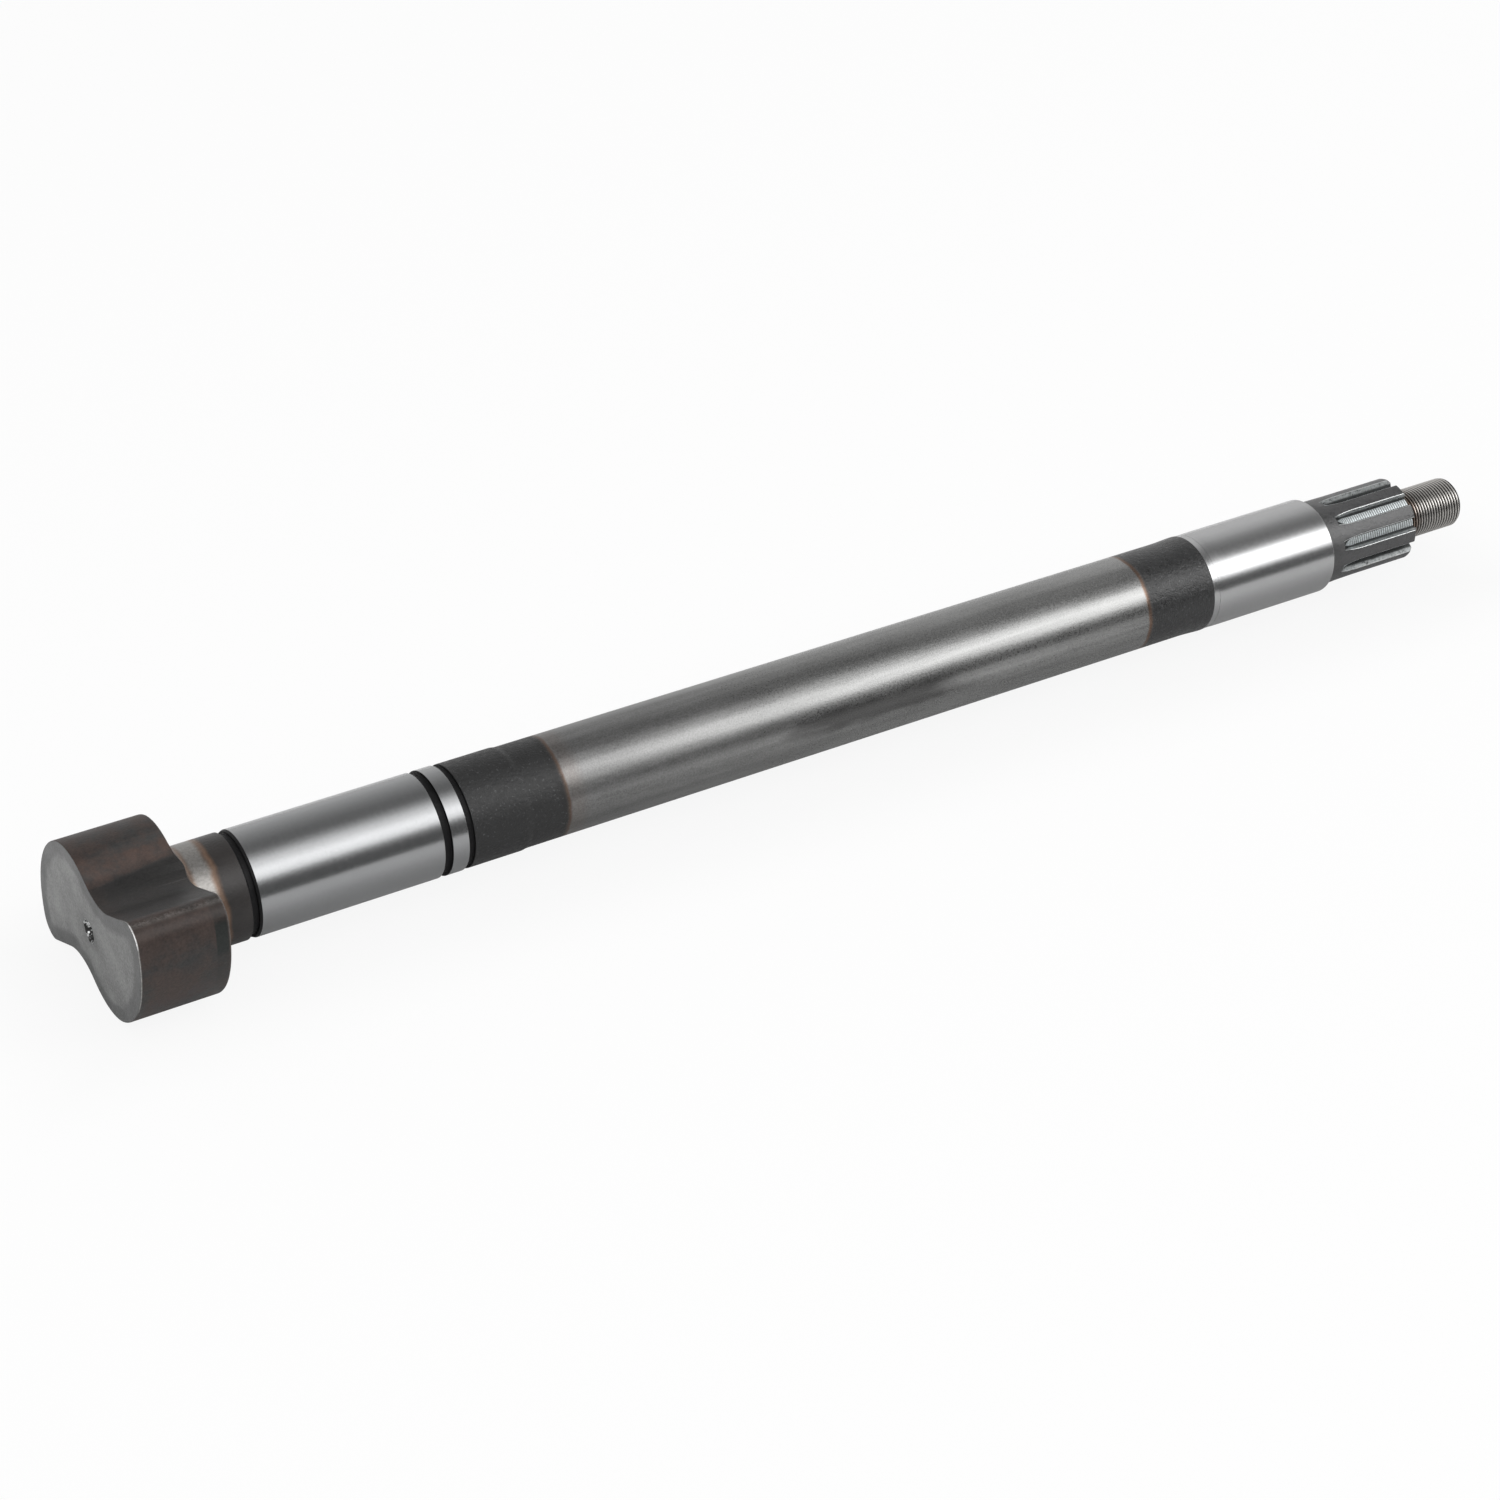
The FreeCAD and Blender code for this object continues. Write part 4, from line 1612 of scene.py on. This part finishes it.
@dataclass
class Camshaft:
    """The whole camshaft as one skin."""

    head: CamHead = field(default_factory=CamHead)
    shaft: TurnedShaft = field(default_factory=TurnedShaft)
    spline: Spline = field(default_factory=Spline)
    stud: Stud = field(default_factory=Stud)

    def build(self) -> bpy.types.Object:
        """Make the dressed piece that stands for the solid.

        Returns:
            The piece.
        """
        skin = Skin()
        ring, angle = self.head.build(skin)
        ring, angle = self.shaft.build(skin, ring, angle)
        ring, angle = self.spline.build(skin, ring, angle)
        self.stud.build(skin, ring, angle)
        piece = skin.mesh("camshaft_body", self.finishes())
        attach(piece, "root")
        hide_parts("camshaft")
        return piece

    @staticmethod
    def finishes() -> dict[Zone, bpy.types.Material]:
        """Dress the zones.

        Returns:
            Material of each zone.
        """
        groove = BlackOxide(
            "groove_oxide", (0.006, 0.006, 0.0065), roughness=0.5, mottle=0.5, gloss=0.2
        )
        teeth = BlackOxide(
            "spline_oxide", (0.024, 0.024, 0.025), roughness=0.36, mottle=0.9, gloss=1.0
        )
        finishes: dict[Zone, Finish] = {
            Zone.FACE: SawnFace(),
            Zone.FLANK: ForgedSkin(),
            Zone.HEAD_BACK: ForgedSkin(),
            Zone.NECK: NeckSteel(),
            Zone.GROOVE: groove,
            Zone.JOURNAL: GroundSteel(),
            Zone.SHANK: ShankSteel(),
            # Lighter copy of the journal's ground steel: painted light for the brighter lighting at
            # this end.
            Zone.END_JOURNAL: GroundSteel("end_journal_steel", (0.43, 0.432, 0.435)),
            Zone.SPLINE: teeth,
            Zone.GAP: MilledGap(),
            Zone.THREAD: ThreadSteel(),
            Zone.CENTRE: DrilledSteel(),
            Zone.STUD_END: GroundSteel("turned_end", (0.3, 0.3, 0.295), roughness=0.36),
        }
        dressed = {finish: finish.dress() for finish in dict.fromkeys(finishes.values())}
        return {zone: dressed[finish] for zone, finish in finishes.items()}


# The studio


@dataclass
class Studio:
    """Pale floor, light tent and the camera at the photograph's viewing angle."""

    floor_height: float = -27.85 * MM
    floor_reach: float = 14.0
    floor_colour: Colour = (0.9, 0.9, 0.9)
    floor_glow: float = 0.9
    floor_mirrored: float = 0.05
    # Painted shadow in the floor's colour under the shaft.
    painted_shadow_colour: Colour = (0.5, 0.5, 0.5)
    shaft_middle: float = 225.0
    painted_shadow_width: Span = (10.0, 80.0)
    painted_shadow_length: Span = (300.0, 380.0)
    white: Colour = (1.0, 1.0, 1.0)
    tent_radius: float = 3.2
    tent_length: float = 5.0
    tent_foot: float = math.radians(-2)
    tent_end: float = math.radians(184)
    tent_steps: int = 72
    tent_top: float = 4.2
    tent_blend: Span = (1300.0, 2600.0)
    tent_near: tuple[Span, ...] = (
        (0.0, 0.74), (0.1, 0.76), (0.2, 0.62), (0.32, 0.42), (0.42, 0.27), (0.5, 0.27),
        (0.56, 0.6), (0.62, 1.3), (0.68, 1.8), (0.745, 2.5), (0.82, 2.0), (0.87, 0.5),
        (0.92, 0.16), (1.0, 0.16),
    )
    tent_far: tuple[Span, ...] = (
        (0.0, 0.75), (0.1, 0.85), (0.2, 0.9), (0.32, 0.75), (0.42, 0.42), (0.52, 0.26),
        (0.6, 0.36), (0.65, 1.0), (0.7, 3.4), (0.77, 4.2), (0.84, 3.8), (0.89, 1.3),
        (0.93, 0.16), (1.0, 0.16),
    )
    flag_distance: float = 0.2
    flag_top: float = 0.035
    flag_ends: Span = (-2.0, 3.0)
    flag_colour: Colour = (0.16, 0.16, 0.16)
    flag_weave: Cloud = Cloud((0.5, 0.5, 0.5))
    camera_place: Triple = (-0.4031, -1.00004, 0.66534)
    camera_right: Triple = (0.85645, -0.51584, -0.01983)
    camera_down: Triple = (-0.27529, -0.42389, -0.86286)
    camera_forward: Triple = (0.43669, 0.74446, -0.50505)
    camera_clip: Span = (0.01, 100.0)
    lens: float = 80.19
    sensor: float = 36.0

    def build(self) -> None:
        """Make the floor, the tent, the board, the world and the camera."""
        self._floor()
        self._tent()
        self._flag()
        self._world()
        self._camera()

    def _sheet(
        self, name: str, rows: list[tuple[Triple, Triple]], material: bpy.types.Material
    ) -> bpy.types.Object:
        """One sheet of the studio.

        Args:
            name: The sheet's name.
            rows: Both ends of each of its cross lines, in order.
            material: Its material.

        Returns:
            The sheet.
        """
        faces = [(2 * row, 2 * row + 1, 2 * row + 3, 2 * row + 2) for row in range(len(rows) - 1)]
        data = bpy.data.meshes.new(name)
        data.from_pydata([spot for row in rows for spot in row], [], faces)
        data.materials.append(material)
        sheet = link(name, data)
        return sheet

    def _floor(self) -> None:
        """Large pale floor under the resting shaft, its colour darkened under the shaft as a
        painted shadow.
        """
        material, graph = new_graph("pale_floor")
        path = graph.node("ShaderNodeLightPath")
        straight = Wire(graph, path.outputs["Is Camera Ray"])
        mirrored = Wire(graph, path.outputs["Is Glossy Ray"])
        through = Wire(graph, path.outputs["Is Transmission Ray"])
        seen = straight * self.floor_glow + mirrored * self.floor_mirrored
        seen = seen + through * self.floor_glow
        # Painted shadow: the floor's colour darkens near the shaft.
        aside = graph.place("Y").size().rise(*self.painted_shadow_width)
        beyond = (graph.place("X") - self.shaft_middle).size().rise(*self.painted_shadow_length)
        clear = graph.math("MAXIMUM", aside, beyond)
        colour = graph.mix(clear, self.painted_shadow_colour, self.floor_colour)
        matt = graph.node("ShaderNodeBsdfDiffuse", {}, {"Color": colour}).outputs[0]
        both = graph.node("ShaderNodeMixShader", {}, {0: seen, 1: matt, 2: graph.glow(self.white)})
        graph.surface(both.outputs[0])
        reach, height = self.floor_reach, self.floor_height
        rows = [((-reach, y, height), (reach, y, height)) for y in (-reach, reach)]
        self._sheet("floor", rows, material)

    def _tent(self) -> None:
        """Half-round light tent along the shaft, with its lamp side towards the camera."""
        material, graph = new_graph("tent_cloth")
        height = graph.angle() * (1 / math.pi)
        near = self._levels(graph, height, self.tent_near)
        far = self._levels(graph, height, self.tent_far)
        cloth = graph.mix(graph.place("X").rise(*self.tent_blend), near, far)
        graph.surface(graph.glow(cloth, self.tent_top))
        rows = []
        for turn in np.linspace(self.tent_foot, self.tent_end, self.tent_steps + 1):
            spot = (self.tent_radius * math.cos(turn), self.tent_radius * math.sin(turn))
            rows.append(((-self.tent_length, *spot), (self.tent_length, *spot)))
        self._sheet("light_tent", rows, material).visible_camera = False

    def _levels(
        self, graph: Graph, height: Wire, levels: tuple[Span, ...]
    ) -> bpy.types.NodeSocket:
        """Brightness of the tent's cloth round the shaft.

        Args:
            graph: The cloth's graph.
            height: Height on the arch, 0 at the far foot and 1 at the near one.
            levels: Places on the arch with their brightness.

        Returns:
            The brightness as a share of the tent's brightest place.
        """
        stops = [(place, (level / self.tent_top,) * 3) for place, level in levels]
        return graph.node("ShaderNodeValToRGB", {"stops": stops}, {0: height}).outputs[0]

    def _flag(self) -> None:
        """Low dark board between the shaft and the camera, which gives the dark line."""
        material, graph = new_graph("dark_cloth")
        weave = graph.noise(self.flag_weave)
        graph.surface(graph.glow(graph.shade(self.flag_colour, 0.9 + 0.2 * weave)))
        (left, right), across = self.flag_ends, -self.flag_distance
        heights = (self.floor_height, self.flag_top)
        rows = [((left, across, height), (right, across, height)) for height in heights]
        board = self._sheet("dark_board", rows, material)
        board.visible_camera = board.visible_diffuse = board.visible_shadow = False

    def _world(self) -> None:
        """White surround."""
        world = bpy.data.worlds.new("surround")
        bpy.context.scene.world = world
        world.use_nodes = True
        graph = Graph(world.node_tree)
        light = graph.node("ShaderNodeBackground", {}, {"Color": self.white, "Strength": 1.0})
        graph.surface(light.outputs[0], "World")

    def _camera(self) -> None:
        """Camera at the photograph's place."""
        data = bpy.data.cameras.new("camera")
        data.lens = self.lens
        data.sensor_width = self.sensor
        data.clip_start, data.clip_end = self.camera_clip
        camera = link("camera", data)
        right, down, forward = self.camera_right, self.camera_down, self.camera_forward
        turn = Matrix([(x, -y, -z) for x, y, z in zip(right, down, forward)]).to_4x4()
        camera.matrix_world = Matrix.Translation(Vector(self.camera_place)) @ turn
        bpy.context.scene.camera = camera


def plain(box: Any) -> list[list[float]]:
    """A box as plain lists of numbers."""
    return [[float(value) for value in corner] for corner in box]


def main() -> None:
    """Build the camshaft and its studio."""
    scene = bpy.context.scene
    scene.view_settings.view_transform = "Standard"
    piece = Camshaft().build()
    LOG.info("%s: %d faces", piece.name, len(piece.data.polygons))
    Studio().build()
    LOG.info("studio: floor, tent, board, surround, camera")


if __name__ == "__main__":
    main()
